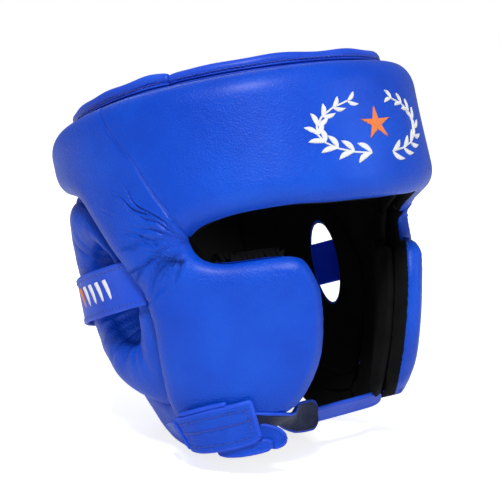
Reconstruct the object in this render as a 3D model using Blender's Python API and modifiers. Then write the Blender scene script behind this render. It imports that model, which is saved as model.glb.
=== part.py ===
"""Boxing headgear with cheek protectors: leather covers over foam cores, suede linings, ear pads, an
adjustable crown, a hook-and-loop back strap and a hook-and-loop chin strap.

Every piece is drawn in the head's own frame (millimetres; the face looks along -Y, +Z is up, the
wearer's right is -X) on one shared head form. An empty then tips that frame back, as the headgear
stands on its jaws and nape, with the middle of its box over the origin.

A place on the head form is (turn, height): turn is the angle in degrees round the head from the middle
of the face, positive towards the wearer's right, and height is in millimetres. On the flat map of the
form, a turn is unrolled at UNROLL millimetres from the axis.
"""

import math

import bmesh
import bpy
import numpy as np
from mathutils import Matrix, Vector

MM = 0.001
UNROLL = 100.0

# Head form: outer half width and half length of the shell at each height.
HALF_WIDTH = [(0, 72), (20, 79), (35, 86), (55, 93), (80, 100), (115, 105), (150, 108), (240, 108)]
HALF_LENGTH = [(0, 88), (50, 102), (70, 109), (100, 115), (150, 120), (240, 120)]
# The cheeks are flattened by a plane that faces CHEEK_TURN, this far from the head's axis.
CHEEK_TURN = 48.0
CHEEK_DISTANCE = [
    (0, 70), (20, 73), (37, 77), (60, 84), (90, 92), (128, 101), (142, 110), (158, 131), (240, 150),
]
CHEEK_BLEND = 5.0

# Layers, from the outside in.
PAD_DEPTH = 18.0
COVER_THICKNESS = 1.8
LINING_DEPTH = 7.6
SHELL_INNER = -PAD_DEPTH - LINING_DEPTH
LAYER_GAP = 1.1
LINING_INSET = 1.0
SEAM_GAP = 1.1
EDGE_FULLNESS = 0.5
PIPING_LIFT = -1.9
EDGE_ROUNDING = 15.0
CORNER_SHARE = 0.2
FOAM_INSET = 9.0
FOAM_DROP = 5.6
FOAM_RAISE = 1.4

# Outlines of the panels.
BAND_TOP = 228.0
BAND_TOP_DIP = 5.0
BAND_BOTTOM = 194.0
BROW = [(0, 143), (15, 144), (30, 147), (45, 148), (55, 146), (62, 143)]
FRONT_SEAM = [(143, 62), (157, 66), (169, 70), (192, 76), (206, 81), (220, 85), (231, 89)]
CHEEK_FRONT = [
    (30, 63), (33, 59), (40, 51), (55, 38), (75, 27.5), (90, 25), (105, 26),
    (113, 28.5), (119, 33), (123, 41), (126, 49.5), (130, 58), (136, 61.5),
]
SIDE_REAR = [
    (30, 89), (58, 87), (86, 85.5), (100, 86), (115, 87.5), (130, 91.5), (148, 98),
    (165, 104), (178, 110), (186, 120), (190, 131), (194, 141), (231, 141),
]
CHEEK_BOTTOM = [(55, 34), (70, 30), (90, 29)]
REAR_TURN = 141.5
NAPE_BOTTOM = [(140, 73), (150, 64), (165, 49), (180, 45)]
NAPE_TOP = 192.5
NAPE_SUNK = 3.4
JAW_BOTTOM = [(88, 22), (98, 19), (105, 24), (112, 33), (118, 42), (124, 52), (132, 63), (142, 73)]
JAW_DEPTH = 12.0

# Ear pad: a ring round a slanted oval hole.
EAR_TURN = 110.5
EAR_HEIGHT = 122.0
EAR_HOLE_HALF_TURN = 12.5
EAR_HOLE_HALF_HEIGHT = 31.0
EAR_SLANT = 0.10
EAR_BOTTOM = [(86, 57), (95, 51), (105, 52), (115, 58), (125, 68), (135, 79), (142, 88)]
EAR_LIFT = [(88, -10), (98, -9), (112, -5), (124, -2), (142, -2)]
EAR_TOP = 186.5
EAR_GAP = 3.0

# Crown: a rolled collar stands on the band, and two flaps arch over the head.
COLLAR_SPLIT = 61.0
COLLAR_HEIGHT = 11.0
COLLAR_RADIUS = 3.2
CROWN_RISE = 6.0
CROWN_HALF_WIDTH = 42.0
CROWN_THICKNESS = 4.0
CROWN_OVERLAP = 26.0

# Back strap: 25 mm webbing of folded leather that crosses the ear pads and closes at the nape.
STRAP_HEIGHT = 126.0
STRAP_WIDTH = 25.0
STRAP_THICKNESS = 2.4
STRAP_LIFT = [(96, -8.0), (100, -6.8), (112, -2.6), (124, -0.6), (142, -0.6), (180, -0.6)]
STRAP_START = 97.0
TAB_HINGE_TURN = 150.0
TAB_END_TURN = 204.0
TAB_RAISED = 7.6
TAB_RAMP = 22.0

# Chin strap: a panel on each jaw that turns under the chin.
CHIN_STRAP_WIDTH = 25.0
CHIN_STRAP_THICKNESS = 2.4
CHIN_LAYER = 5.6
PATCH_THICKNESS = 0.8
PATCH_GAP = 0.5
CHIN_HINGE_TURN = 104.0
CHIN_HEIGHT = 34.0
TAIL_HEIGHT = 26.5
CHIN_LIFT = 6.2

LEAN_BACK = math.radians(18.7)

COLOURS = {
    "leather_blue": ((0.010, 0.105, 0.680, 1.0), 0.42),
    "suede_black": ((0.006, 0.006, 0.007, 1.0), 0.95),
    "foam_grey": ((0.160, 0.160, 0.165, 1.0), 0.90),
    "hook_loop_navy": ((0.006, 0.020, 0.110, 1.0), 0.85),
    "thread_white": ((0.850, 0.860, 0.880, 1.0), 0.55),
}


def through(stations, value):
    """The smooth curve through (place, height) stations, which never overshoots them."""
    places, heights = (np.array(column, float) for column in zip(*stations))
    value = float(np.clip(value, places[0], places[-1]))
    steps = np.diff(places)
    rises = np.diff(heights) / steps
    slopes = np.concatenate([[rises[0]], np.zeros(len(rises) - 1), [rises[-1]]])
    for i in range(1, len(rises)):
        if rises[i - 1] * rises[i] > 0:
            slopes[i] = 2 * rises[i - 1] * rises[i] / (rises[i - 1] + rises[i])
    i = int(np.clip(np.searchsorted(places, value) - 1, 0, len(steps) - 1))
    t = (value - places[i]) / steps[i]
    bend = heights[i] * (1 + 2 * t) * (1 - t) ** 2 + heights[i + 1] * (3 - 2 * t) * t**2
    return bend + steps[i] * (slopes[i] * t * (1 - t) ** 2 - slopes[i + 1] * t**2 * (1 - t))


def outer_radius(turn, height):
    """Distance from the head's axis to the shell's outer surface."""
    angle = math.radians(turn)
    width = through(HALF_WIDTH, height)
    length = through(HALF_LENGTH, height) if abs(turn) > 90 else through(HALF_LENGTH, max(height, 115))
    oval = 1 / math.hypot(math.sin(angle) / width, math.cos(angle) / length)
    away = math.radians(abs(turn) - CHEEK_TURN)
    if abs(away) > math.radians(75):
        return oval
    flat = through(CHEEK_DISTANCE, height) / math.cos(away)
    lower = min(oval, flat)
    return lower - CHEEK_BLEND * math.log1p(math.exp(-abs(oval - flat) / CHEEK_BLEND))


def on_form(turn, height, lift=0.0):
    """The point at (turn, height), lift millimetres outside the shell's outer surface."""
    reach = outer_radius(turn, height) + lift
    angle = math.radians(turn)
    return np.array([-reach * math.sin(angle), -reach * math.cos(angle), height])


def band_top(turn):
    """The upper edge dips a little over the forehead."""
    return BAND_TOP - BAND_TOP_DIP * max(0.0, math.cos(math.radians(turn))) ** 2


def side_front(height):
    """The front edge of the side panel: cheek outline, then the seam beside the forehead."""
    if height < CHEEK_FRONT[-1][0]:
        return through(CHEEK_FRONT, height)
    return through([CHEEK_FRONT[-1]] + FRONT_SEAM, height)


class Panel:
    """A four-sided patch of the head form, whose edges are functions of height or of turn."""

    def __init__(self, span, front, rear, bottom, top, sunk=0.0):
        self.span = span
        self.sunk = sunk
        self.edges = (front, rear, bottom, top)
        steps = np.linspace(0, 1, 33)
        around = [(u, v) for u in steps for v in (0, 1)] + [(u, v) for v in steps for u in (0, 1)]
        self.rim = np.array([self.flat(*self.place(u, v)) for u, v in around])

    @staticmethod
    def flat(turn, height):
        return math.radians(turn) * UNROLL, height

    def place(self, u, v, inset=0.0):
        """(turn, height) of a fraction along and up the patch, its edges drawn in by inset."""
        front, rear, bottom, top = self.edges
        reach = np.linspace(-inset, inset, 9)
        turn_step = math.degrees(inset / UNROLL)
        height = self.span[0] + v * (self.span[1] - self.span[0])
        for _ in range(6):
            near = max(front(height + shift) for shift in reach) + turn_step
            far = min(rear(height + shift) for shift in reach) - turn_step
            turn = near + u * (far - near)
            low = bottom(turn) + inset
            height = low + v * (top(turn) - inset - low)
        return turn, height

    def depth_in(self, turn, height):
        """Distance to the patch's nearest edge."""
        return float(np.hypot(*(self.rim - self.flat(turn, height)).T).min())

    def crown(self, turn, height):
        """Lift of a padded cover's outer surface, which rolls down towards the patch's edges."""
        inward = min(self.depth_in(turn, height) / EDGE_ROUNDING, 1.0)
        round_over = math.sqrt(1 - (1 - inward) ** 2)
        return -self.sunk - PAD_DEPTH * (1 - EDGE_FULLNESS) * (1 - round_over)


def eased(count):
    """Fractions from 0 to 1 that crowd towards both ends."""
    return [(1 - math.cos(math.pi * i / count)) / 2 for i in range(count + 1)]


def panel_grid(panel, across, up, lift, inset=0.0):
    """Rows of points over a panel. lift is a number or a function of (turn, height)."""
    rows = []
    for v in eased(up):
        row = []
        for u in eased(across):
            turn, height = panel.place(u, v, inset)
            row.append(on_form(turn, height, lift(turn, height) if callable(lift) else lift))
        rows.append(row)
    return np.array(rows)


def mirrored(points, side):
    """Side 1 is the wearer's right, where the points are drawn, and -1 is the left."""
    return points * np.array([side, 1, 1])


# ---------------------------------------------------------------- objects


def material(name):
    found = bpy.data.materials.get(name)
    if found:
        return found
    colour, roughness = COLOURS[name]
    made = bpy.data.materials.new(name)
    made.use_nodes = True
    shader = made.node_tree.nodes["Principled BSDF"]
    shader.inputs["Base Color"].default_value = colour
    shader.inputs["Roughness"].default_value = roughness
    shader.inputs["Metallic"].default_value = 0.0
    return made


def add_object(name, mesh, finish, pivot=(0, 0, 0)):
    """An object on the head's frame, with its origin at pivot (millimetres)."""
    mesh.materials.append(material(finish))
    mesh.shade_smooth()
    mesh.set_sharp_from_angle(angle=math.radians(50))
    made = bpy.data.objects.new(name, mesh)
    made.location = Vector(pivot) * MM
    made.parent = head_frame
    headgear.objects.link(made)
    return made


def mesh_from(name, points, faces, pivot=(0, 0, 0), closed=True):
    """A mesh of faces over points (millimetres). The faces of a closed one all point outwards."""
    shape = bmesh.new()
    corners = [shape.verts.new(tuple((np.array(p) - pivot) * MM)) for p in points]
    for face in faces:
        shape.faces.new([corners[i] for i in face])
    if closed:
        bmesh.ops.recalc_face_normals(shape, faces=shape.faces)
    mesh = bpy.data.meshes.new(name)
    shape.to_mesh(mesh)
    shape.free()
    return mesh


def grid_faces(rows, columns, wrap=False):
    faces = []
    for i in range(rows - 1):
        low, high = i * columns, (i + 1) * columns
        for j in range(columns if wrap else columns - 1):
            after = (j + 1) % columns
            faces.append((low + j, low + after, high + after, high + j))
    return faces


def add_sheet(name, grid, thickness, finish, pivot=(0, 0, 0), outwards=None):
    """An open grid thickened inwards, away from the side that outwards points to."""
    rows, columns = grid.shape[:2]
    points = grid.reshape(-1, 3)
    mesh = mesh_from(name, points, grid_faces(rows, columns), pivot, closed=False)
    agreement = 0.0
    for polygon in mesh.polygons:
        from_axis = (polygon.center + Vector(pivot) * MM).xy
        facing = Vector(outwards) if outwards is not None else Vector((*from_axis, 0))
        agreement += polygon.area * polygon.normal.dot(facing)
    if agreement < 0:
        mesh.flip_normals()
    made = add_object(name, mesh, finish, pivot)
    shell = made.modifiers.new("thickness", "SOLIDIFY")
    shell.thickness = thickness * MM
    shell.offset = -1.0
    return made


def add_cushion(name, outer, inner, finish, pivot=(0, 0, 0)):
    """A closed solid lofted between two grids of the same size."""
    rows, columns = outer.shape[:2]
    count = rows * columns
    faces = grid_faces(rows, columns)
    faces += [tuple(count + i for i in reversed(face)) for face in faces]
    rim = list(range(columns))
    rim += [i * columns + columns - 1 for i in range(1, rows)]
    rim += [(rows - 1) * columns + j for j in range(columns - 2, -1, -1)]
    rim += [i * columns for i in range(rows - 2, 0, -1)]
    for here, after in zip(rim, rim[1:] + rim[:1]):
        faces.append((here, after, count + after, count + here))
    points = np.concatenate([outer.reshape(-1, 3), inner.reshape(-1, 3)])
    return add_object(name, mesh_from(name, points, faces, pivot), finish, pivot)


def add_tube(name, points, radius, finish):
    """A cord along points (millimetres), with filled ends."""
    curve = bpy.data.curves.new(name, "CURVE")
    curve.dimensions = "3D"
    curve.bevel_depth = radius * MM
    curve.bevel_resolution = 2
    curve.use_fill_caps = True
    spline = curve.splines.new("POLY")
    spline.points.add(len(points) - 1)
    for target, point in zip(spline.points, points):
        target.co = (*(np.array(point) * MM), 1.0)
    curve.materials.append(material(finish))
    made = bpy.data.objects.new(name, curve)
    made.parent = head_frame
    headgear.objects.link(made)
    return made


# ---------------------------------------------------------------- padded panels


def forehead_panel():
    seam = lambda height: through(FRONT_SEAM, height) - math.degrees(SEAM_GAP / UNROLL)
    brow = lambda turn: through(BROW, abs(turn))
    return Panel((143.0, BAND_TOP), lambda h: -seam(h), seam, brow, band_top)


def side_panel():
    rear = lambda height: through(SIDE_REAR, height)
    bottom = lambda turn: through(CHEEK_BOTTOM, turn)
    return Panel((30.0, BAND_TOP), side_front, rear, bottom, band_top)


def rear_panel():
    return Panel(
        (BAND_BOTTOM, BAND_TOP),
        lambda h: REAR_TURN,
        lambda h: 360 - REAR_TURN,
        lambda t: BAND_BOTTOM,
        band_top,
    )


def nape_panel():
    near = lambda height: REAR_TURN + 1
    far = lambda height: 359 - REAR_TURN
    bottom = lambda turn: through(NAPE_BOTTOM, turn if turn < 180 else 360 - turn)
    return Panel((45.0, NAPE_TOP), near, far, bottom, lambda turn: NAPE_TOP, NAPE_SUNK)


def walled(dome, foot):
    """A grid of points over a cushion's top, with one more loop round it down to the cushion's foot."""
    rows, columns = dome.shape[:2]
    grid = np.empty((rows + 2, columns + 2, 3))
    grid[1:-1, 1:-1] = dome
    grid[0, 1:-1], grid[-1, 1:-1] = foot[0], foot[-1]
    grid[1:-1, 0], grid[1:-1, -1] = foot[:, 0], foot[:, -1]
    for i, next_row in ((0, 1), (-1, -2)):
        for j, next_column in ((0, 1), (-1, -2)):
            corner = foot[i, j]
            grid[i, j] = corner
            grid[i, next_column] += (foot[i, next_column] - corner) * CORNER_SHARE
            grid[next_row, j] += (foot[next_row, j] - corner) * CORNER_SHARE
    return grid


def add_padding(name, panel, across, up, side=1):
    """The three layers of a padded panel: leather cover, foam core and suede lining."""
    floor = -PAD_DEPTH
    faces = []
    for inset in (0.0, COVER_THICKNESS):
        dome = panel_grid(panel, across, up, lambda turn, height: panel.crown(turn, height) - inset, inset)
        foot = panel_grid(panel, across, up, floor, inset)
        faces.append(mirrored(walled(dome, foot), side))
    add_cushion(name + "_cover", *faces, "leather_blue")

    sunk = lambda turn, height: panel.crown(turn, height) - FOAM_DROP
    foam_top = panel_grid(panel, across, up, sunk, FOAM_INSET)
    foam_foot = panel_grid(panel, across, up, floor + FOAM_RAISE, FOAM_INSET)
    add_cushion(name + "_foam", mirrored(foam_top, side), mirrored(foam_foot, side), "foam_grey")

    lining = panel_grid(panel, across, up, floor - LAYER_GAP, LINING_INSET)
    add_sheet(name + "_lining", mirrored(lining, side), LINING_DEPTH, "suede_black")


def ear_reach(angle):
    """How far the ear pad may reach from its hole's centre in one direction of the (turn, height) map."""
    sideways, upwards = math.cos(angle), math.sin(angle)
    reach = 0.0
    while reach < 120:
        reach += 0.5
        turn = EAR_TURN + math.degrees(reach * sideways / UNROLL)
        height = EAR_HEIGHT + reach * upwards
        front = max(through(SIDE_REAR, height + shift) for shift in (-4, 0, 4))
        front += math.degrees(EAR_GAP / UNROLL)
        if turn < front or turn > REAR_TURN or height > EAR_TOP or height < through(EAR_BOTTOM, turn):
            return reach - 0.5
    return reach


def ear_loops(count):
    """Places round the ear pad: its hole's edge and its outer edge, both rounded."""
    angles = [2 * math.pi * i / count for i in range(count)]
    fine = np.array([ear_reach(2 * math.pi * i / (4 * count)) for i in range(4 * count)])
    soft = np.minimum(fine, sum(np.roll(fine, shift) for shift in range(-5, 6)) / 11)
    outer = soft[::4]
    loops = []
    for share in (0.0, 0.18, 0.5, 0.82, 1.0):
        loop = []
        for angle, reach in zip(angles, outer):
            rise = EAR_HOLE_HALF_HEIGHT * math.sin(angle)
            run = math.radians(EAR_HOLE_HALF_TURN) * UNROLL * math.cos(angle) + EAR_SLANT * rise
            along = share * reach * math.cos(angle) + (1 - share) * run
            above = share * reach * math.sin(angle) + (1 - share) * rise
            loop.append((EAR_TURN + math.degrees(along / UNROLL), EAR_HEIGHT + above))
        loops.append(loop)
    return loops


def add_ear_pad(name, side):
    """A padded ring: two rings of points inside, and a rolled outer face."""
    loops = ear_loops(28)
    rolls = (-9.0, -2.5, 0.0, -2.5, -9.0)
    rings = []
    for loop, roll in zip(loops, rolls):
        rings.append([on_form(t, h, through(EAR_LIFT, t) + roll) for t, h in loop])
    rings.append([on_form(t, h, SHELL_INNER) for t, h in loops[-1]])
    rings.append([on_form(t, h, SHELL_INNER) for t, h in loops[0]])
    rings = np.array(rings + rings[:1])
    count, around = len(rings) - 1, len(loops[0])
    faces = []
    for i in range(count):
        for j in range(around):
            after, beyond = (i + 1) % count, (j + 1) % around
            faces.append((i * around + j, i * around + beyond, after * around + beyond, after * around + j))
    points = mirrored(rings[:-1].reshape(-1, 3), side)
    return add_object(name, mesh_from(name, points, faces), "leather_blue")


def jaw_panel():
    top = lambda turn: through(EAR_BOTTOM, turn) - 1.0
    bottom = lambda turn: through(JAW_BOTTOM, turn)
    return Panel((20.0, 88.0), lambda h: 90.5, lambda h: REAR_TURN - 0.5, bottom, top)


def add_jaw_pad(name, side):
    """The thin pad below the ear, between the cheek and the nape."""
    panel = jaw_panel()
    lift = SHELL_INNER + JAW_DEPTH
    outer = panel_grid(panel, 8, 3, lambda t, h: lift + panel.crown(t, h) * 0.5)
    inner = panel_grid(panel, 8, 3, SHELL_INNER)
    add_cushion(name, mirrored(outer, side), mirrored(inner, side), "leather_blue")


def add_seam_piping(name, side):
    """The raised seam between the forehead cover and the side cover."""
    line = []
    for height in np.linspace(150, 222, 10):
        turn = through(FRONT_SEAM, height) - math.degrees(0.2 / UNROLL)
        line.append(on_form(turn, height, PIPING_LIFT))
    add_tube(name, [mirrored(p, side) for p in line], 1.1, "leather_blue")


# ---------------------------------------------------------------- crown


def collar_point(turn, height, lift):
    """A point of the crown's collar, which stands on the inner half of the band."""
    foot = on_form(turn, BAND_TOP, lift - PAD_DEPTH - 2.0)
    return foot + np.array([0, 0, band_top(turn) - BAND_TOP + height])


def add_collar(name, first, last, steps, height):
    """A rolled collar: an upright band of leather with a round roll along its top."""
    profile = [(-2.6, 1.0), (2.6, 1.0), (2.6, height - 4), (COLLAR_RADIUS, height - 1.5), (1.6, height + 1.2)]
    profile += [(-1.6, height + 1.2), (-COLLAR_RADIUS, height - 1.5), (-2.6, height - 4)]
    sections = []
    for turn in np.linspace(first, last, steps):
        sections.append([collar_point(turn, above, lift) for lift, above in profile])
    count = len(profile)
    faces = grid_faces(steps, count, wrap=True)
    faces += [tuple(range(count)), tuple(steps * count - 1 - i for i in range(count))]
    mesh = mesh_from(name, np.array(sections).reshape(-1, 3), faces)
    return add_object(name, mesh, "leather_blue")


def crown_height(x, y):
    """Height of the crown's outer face over the head."""
    away = math.hypot(x / 86, y / 98)
    return BAND_TOP + 3.0 + CROWN_RISE * (1 - min(away, 1.0) ** 2)


def crown_end(x):
    """How far the flaps reach forwards and back, just inside the collar's oval."""
    return 93.0 * math.sqrt(1 - (x / 81.0) ** 2)


def crown_grid(near, far, lift, half_width=CROWN_HALF_WIDTH, steps=8):
    """near and far are distances along Y. One that is None follows the collar."""
    rows = []
    for share in np.linspace(0, 1, steps):
        row = []
        for x in np.linspace(-half_width, half_width, 7):
            start = -crown_end(x) if near is None else near
            stop = crown_end(x) if far is None else far
            y = start + share * (stop - start)
            row.append((x, y, crown_height(x, y) + lift))
        rows.append(row)
    return np.array(rows)


def add_crown():
    edge = crown_end(0)
    overlap = CROWN_OVERLAP
    upper = CROWN_THICKNESS + 2.6
    up = (0, 0, 1)
    flat = crown_grid(None, overlap, 0.0)
    add_sheet("crown_flap_front", flat, CROWN_THICKNESS, "leather_blue", outwards=up)
    hinge = (0.0, edge - 4, crown_height(0, edge - 4))
    ramp = crown_grid(-overlap, None, 0.0)
    for row in ramp:
        row[:, 2] += upper * np.clip((edge - row[:, 1]) / 30, 0, 1)
    add_sheet("crown_flap_rear", ramp, CROWN_THICKNESS, "leather_blue", hinge, up)
    patch = 20.0
    loop = crown_grid(-patch, patch, 1.1, 30.0, 4)
    add_sheet("crown_loop_patch", loop, PATCH_THICKNESS, "hook_loop_navy", outwards=up)
    hook = crown_grid(-patch, patch, 2.3, 30.0, 4)
    add_sheet("crown_hook_patch", hook, PATCH_THICKNESS, "hook_loop_navy", hinge, up)
    return hinge


# ---------------------------------------------------------------- back strap


def strap_grid(turns, lift, width=STRAP_WIDTH, height=STRAP_HEIGHT):
    """A band of the strap that follows the head form. lift is added to the strap's own lift."""
    rows = []
    for turn in turns:
        own = through(STRAP_LIFT, turn if turn <= 180 else 360 - turn)
        middle = on_form(turn, height, own + lift)
        rows.append([middle + np.array([0, 0, rise]) for rise in (-width / 2, 0, width / 2)])
    return np.array(rows)


def add_back_strap():
    base = strap_grid(np.linspace(STRAP_START, TAB_HINGE_TURN - 0.4, 9), STRAP_THICKNESS)
    add_sheet("back_strap_right", base, STRAP_THICKNESS, "leather_blue")
    left = strap_grid(np.linspace(STRAP_START, 176, 13), STRAP_THICKNESS)
    add_sheet("back_strap_left", mirrored(left, -1), STRAP_THICKNESS, "leather_blue")
    hinge = on_form(TAB_HINGE_TURN, STRAP_HEIGHT, through(STRAP_LIFT, TAB_HINGE_TURN) + STRAP_THICKNESS)
    turns = np.linspace(TAB_HINGE_TURN + 0.2, TAB_END_TURN, 9)
    tab = strap_grid(turns, 0.0)
    for turn, row in zip(turns, tab):
        climbed = min(1.0, (turn - TAB_HINGE_TURN) / TAB_RAMP)
        raised = STRAP_THICKNESS + (TAB_RAISED - STRAP_THICKNESS) * climbed
        row += row * np.array([1, 1, 0]) / np.hypot(row[1, 0], row[1, 1]) * raised
    add_sheet("back_strap_tab", tab, STRAP_THICKNESS, "leather_blue", hinge)
    patches = np.linspace(186, 202, 4)
    loop = strap_grid(patches, STRAP_THICKNESS + 1.1, STRAP_WIDTH - 5)
    add_sheet("back_loop_patch", loop, PATCH_THICKNESS, "hook_loop_navy")
    hook = strap_grid(patches, STRAP_THICKNESS + 2.2, STRAP_WIDTH - 5)
    add_sheet("back_hook_patch", hook, PATCH_THICKNESS, "hook_loop_navy", hinge)
    badge = strap_grid(np.linspace(108, 128, 4), STRAP_THICKNESS + 0.9, 13.0)
    add_sheet("strap_badge", badge, 0.6, "thread_white")
    return hinge


# ---------------------------------------------------------------- chin strap


def chin_sections(above, end):
    """Middle and half-width direction of the strap, from its panel on the jaw to its tail under the chin.
    The tail lies flat, above millimetres over the lower strap, and ends past the chin's middle by end."""
    sections = []
    half = CHIN_STRAP_WIDTH / 2
    for turn in (CHIN_HINGE_TURN, 98, 92, 86, 80, 74, 68):
        upper, lower = (on_form(turn, CHIN_HEIGHT + rise, CHIN_LIFT) for rise in (half, -half))
        sections.append(((upper + lower) / 2, (upper - lower) / np.linalg.norm(upper - lower)))
    turning = [
        ((-68, -45, 25), (-0.15, -0.60, 0.75)),
        ((-60, -46, 20 + above * 0.25), (0.0, -0.80, 0.55)),
        ((-50, -41, 21 + above * 0.8), (0.0, -0.93, 0.36)),
        ((-42, -36, 25 + above), (0.0, -1.0, 0.10)),
        ((-34, -34, TAIL_HEIGHT + above), (0.0, -1.0, 0.0)),
        ((-17 + end / 2, -32, TAIL_HEIGHT + above), (0.0, -1.0, 0.0)),
        ((end, -32, TAIL_HEIGHT + above), (0.0, -1.0, 0.0)),
    ]
    for middle, direction in turning:
        direction = np.array(direction)
        sections.append((np.array(middle, float), direction / np.linalg.norm(direction)))
    return sections


def add_chin_strap(name, side, above, end):
    hinge = mirrored(on_form(CHIN_HINGE_TURN, CHIN_HEIGHT, CHIN_LIFT - CHIN_STRAP_THICKNESS / 2), side)
    half = CHIN_STRAP_WIDTH / 2
    grid = []
    for middle, direction in chin_sections(above, end):
        grid.append([middle + direction * reach for reach in (-half, 0, half)])
    grid = mirrored(np.array(grid), side)
    add_sheet(name, grid, CHIN_STRAP_THICKNESS, "leather_blue", hinge, (-side, -0.3, -1))
    return hinge


def add_chin_patch(name, height, hinge):
    """A flat hook or loop patch between the two tails, its lower face at height."""
    rows = [[(x, y, height) for x in (-33, -2)] for y in (-42, -22)]
    add_sheet(name, np.array(rows, float), PATCH_THICKNESS, "hook_loop_navy", hinge, (0, 0, -1))


def add_jaw_tab(name, side):
    """The anchor sewn on the jaw behind the chin strap's panel. Its lower edge is the lowest leather."""
    rows = []
    for turn in (104, 96, 88, 80, 72):
        rows.append([on_form(turn, height, 2.8) for height in (21, 31, 42)])
    add_sheet(name, mirrored(np.array(rows), side), 1.6, "leather_blue")


# ---------------------------------------------------------------- emblem


def add_emblem(name):
    """A low oval patch of embroidery on the forehead."""
    rows = []
    for share in np.linspace(-1, 1, 9):
        half = 19.0 * math.sqrt(max(1 - (share * 0.96) ** 2, 0.05))
        turn = share * 23.0
        rows.append([on_form(turn, 184 + rise * half, 1.3) for rise in (-1, -0.5, 0, 0.5, 1)])
    add_sheet(name, np.array(rows), 0.8, "thread_white")


# ---------------------------------------------------------------- assembly


def stand_on_floor():
    """Tips the head's frame back and moves it so that the headgear stands over the origin."""
    head_frame.matrix_world = Matrix.Rotation(-LEAN_BACK, 4, "X")
    bpy.context.view_layer.update()
    graph = bpy.context.evaluated_depsgraph_get()
    corners = []
    for made in headgear.objects:
        if made.type == "EMPTY":
            continue
        mesh = made.evaluated_get(graph).to_mesh()
        world = np.array(made.matrix_world)
        points = np.array([vertex.co for vertex in mesh.vertices]) @ world[:3, :3].T + world[:3, 3]
        corners += [points.min(axis=0), points.max(axis=0)]
        made.evaluated_get(graph).to_mesh_clear()
    low, high = np.min(corners, axis=0), np.max(corners, axis=0)
    middle = (low + high) / 2
    head_frame.location = (-middle[0], -middle[1], -low[2])
    bpy.context.view_layer.update()


for leftover in list(bpy.data.objects):
    bpy.data.objects.remove(leftover, do_unlink=True)

headgear = bpy.data.collections.new("Boxing headgear")
bpy.context.scene.collection.children.link(headgear)
head_frame = bpy.data.objects.new("head_frame", None)
headgear.objects.link(head_frame)

add_padding("forehead", forehead_panel(), 12, 6)
add_padding("rear_band", rear_panel(), 7, 4)
add_padding("nape", nape_panel(), 8, 7)
add_emblem("forehead_emblem")
for side, label in ((1, "right"), (-1, "left")):
    add_padding("cheek_" + label, side_panel(), 9, 14, side)
    add_ear_pad("ear_pad_" + label, side)
    add_jaw_pad("jaw_pad_" + label, side)
    add_jaw_tab("jaw_tab_" + label, side)
    add_seam_piping("seam_piping_" + label, side)
add_collar("crown_collar_rear", COLLAR_SPLIT + 0.5, 359.5 - COLLAR_SPLIT, 20, COLLAR_HEIGHT)
add_collar("crown_collar_front", -COLLAR_SPLIT, COLLAR_SPLIT, 12, COLLAR_HEIGHT - 1)
crown_hinge = add_crown()
back_hinge = add_back_strap()
right_hinge = add_chin_strap("chin_strap_right", 1, CHIN_LAYER, -1.0)
left_hinge = add_chin_strap("chin_strap_left", -1, 0.0, 35.0)
add_chin_patch("chin_hook_patch", TAIL_HEIGHT + CHIN_LAYER - PATCH_THICKNESS - PATCH_GAP, right_hinge)
add_chin_patch("chin_loop_patch", TAIL_HEIGHT + CHIN_STRAP_THICKNESS + PATCH_GAP, left_hinge)
stand_on_floor()
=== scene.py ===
"""Boxing headgear: pebbled blue leather pads, black suede lining, bound straps and stitching, built round the
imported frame. Every piece is drawn in the head's own frame (millimetres; the face looks along -Y, +Z is up, the
wearer's right is -X) and then tipped back with it.

A place on the head form is (turn, height): degrees round the head from the middle of the face, positive
towards the wearer's right, and millimetres up. A flat place is (run, height): turn unrolled at 100 mm.
"""

import math
import random

import bmesh
import bpy
import numpy as np
from mathutils import Euler, Matrix, Vector


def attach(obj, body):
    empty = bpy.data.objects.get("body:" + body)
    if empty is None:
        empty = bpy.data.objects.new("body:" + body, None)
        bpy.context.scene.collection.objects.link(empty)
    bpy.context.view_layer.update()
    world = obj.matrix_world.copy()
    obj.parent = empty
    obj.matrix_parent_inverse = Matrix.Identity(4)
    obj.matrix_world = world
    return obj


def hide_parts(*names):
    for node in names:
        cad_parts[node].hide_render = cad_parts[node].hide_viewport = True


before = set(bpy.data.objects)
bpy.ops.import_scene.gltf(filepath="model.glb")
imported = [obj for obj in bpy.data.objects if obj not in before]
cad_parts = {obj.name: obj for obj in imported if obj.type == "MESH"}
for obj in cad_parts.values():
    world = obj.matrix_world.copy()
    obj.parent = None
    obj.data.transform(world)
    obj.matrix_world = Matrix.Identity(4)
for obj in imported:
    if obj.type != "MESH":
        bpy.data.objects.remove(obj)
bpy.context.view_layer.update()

MM = 0.001
UNROLL = 100.0
LEAN_BACK = math.radians(18.7)
HEAD_AT = (0.0, -0.0587587, -0.0134633)
HEAD = Matrix.Translation(HEAD_AT) @ Matrix.Rotation(-LEAN_BACK, 4, "X")
HEAD_TURN = np.array(HEAD)[:3, :3]


# ---------------------------------------------------------------- head form


class Curve:
    """A smooth curve through stations that never overshoots them."""

    def __init__(self, stations):
        self.x, self.y = (np.array(column, float) for column in zip(*stations))
        self.step = np.diff(self.x)
        rise = np.diff(self.y) / self.step
        self.slope = np.concatenate([[rise[0]], np.zeros(len(rise) - 1), [rise[-1]]])
        for i in range(1, len(rise)):
            if rise[i - 1] * rise[i] > 0:
                self.slope[i] = 2 * rise[i - 1] * rise[i] / (rise[i - 1] + rise[i])

    def __call__(self, value):
        value = np.clip(np.asarray(value, float), self.x[0], self.x[-1])
        i = np.clip(np.searchsorted(self.x, value) - 1, 0, len(self.step) - 1)
        t = (value - self.x[i]) / self.step[i]
        level = self.y[i] * (1 + 2 * t) * (1 - t) ** 2 + self.y[i + 1] * (3 - 2 * t) * t**2
        return level + self.step[i] * (self.slope[i] * t * (1 - t) ** 2 - self.slope[i + 1] * t**2 * (1 - t))


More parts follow.
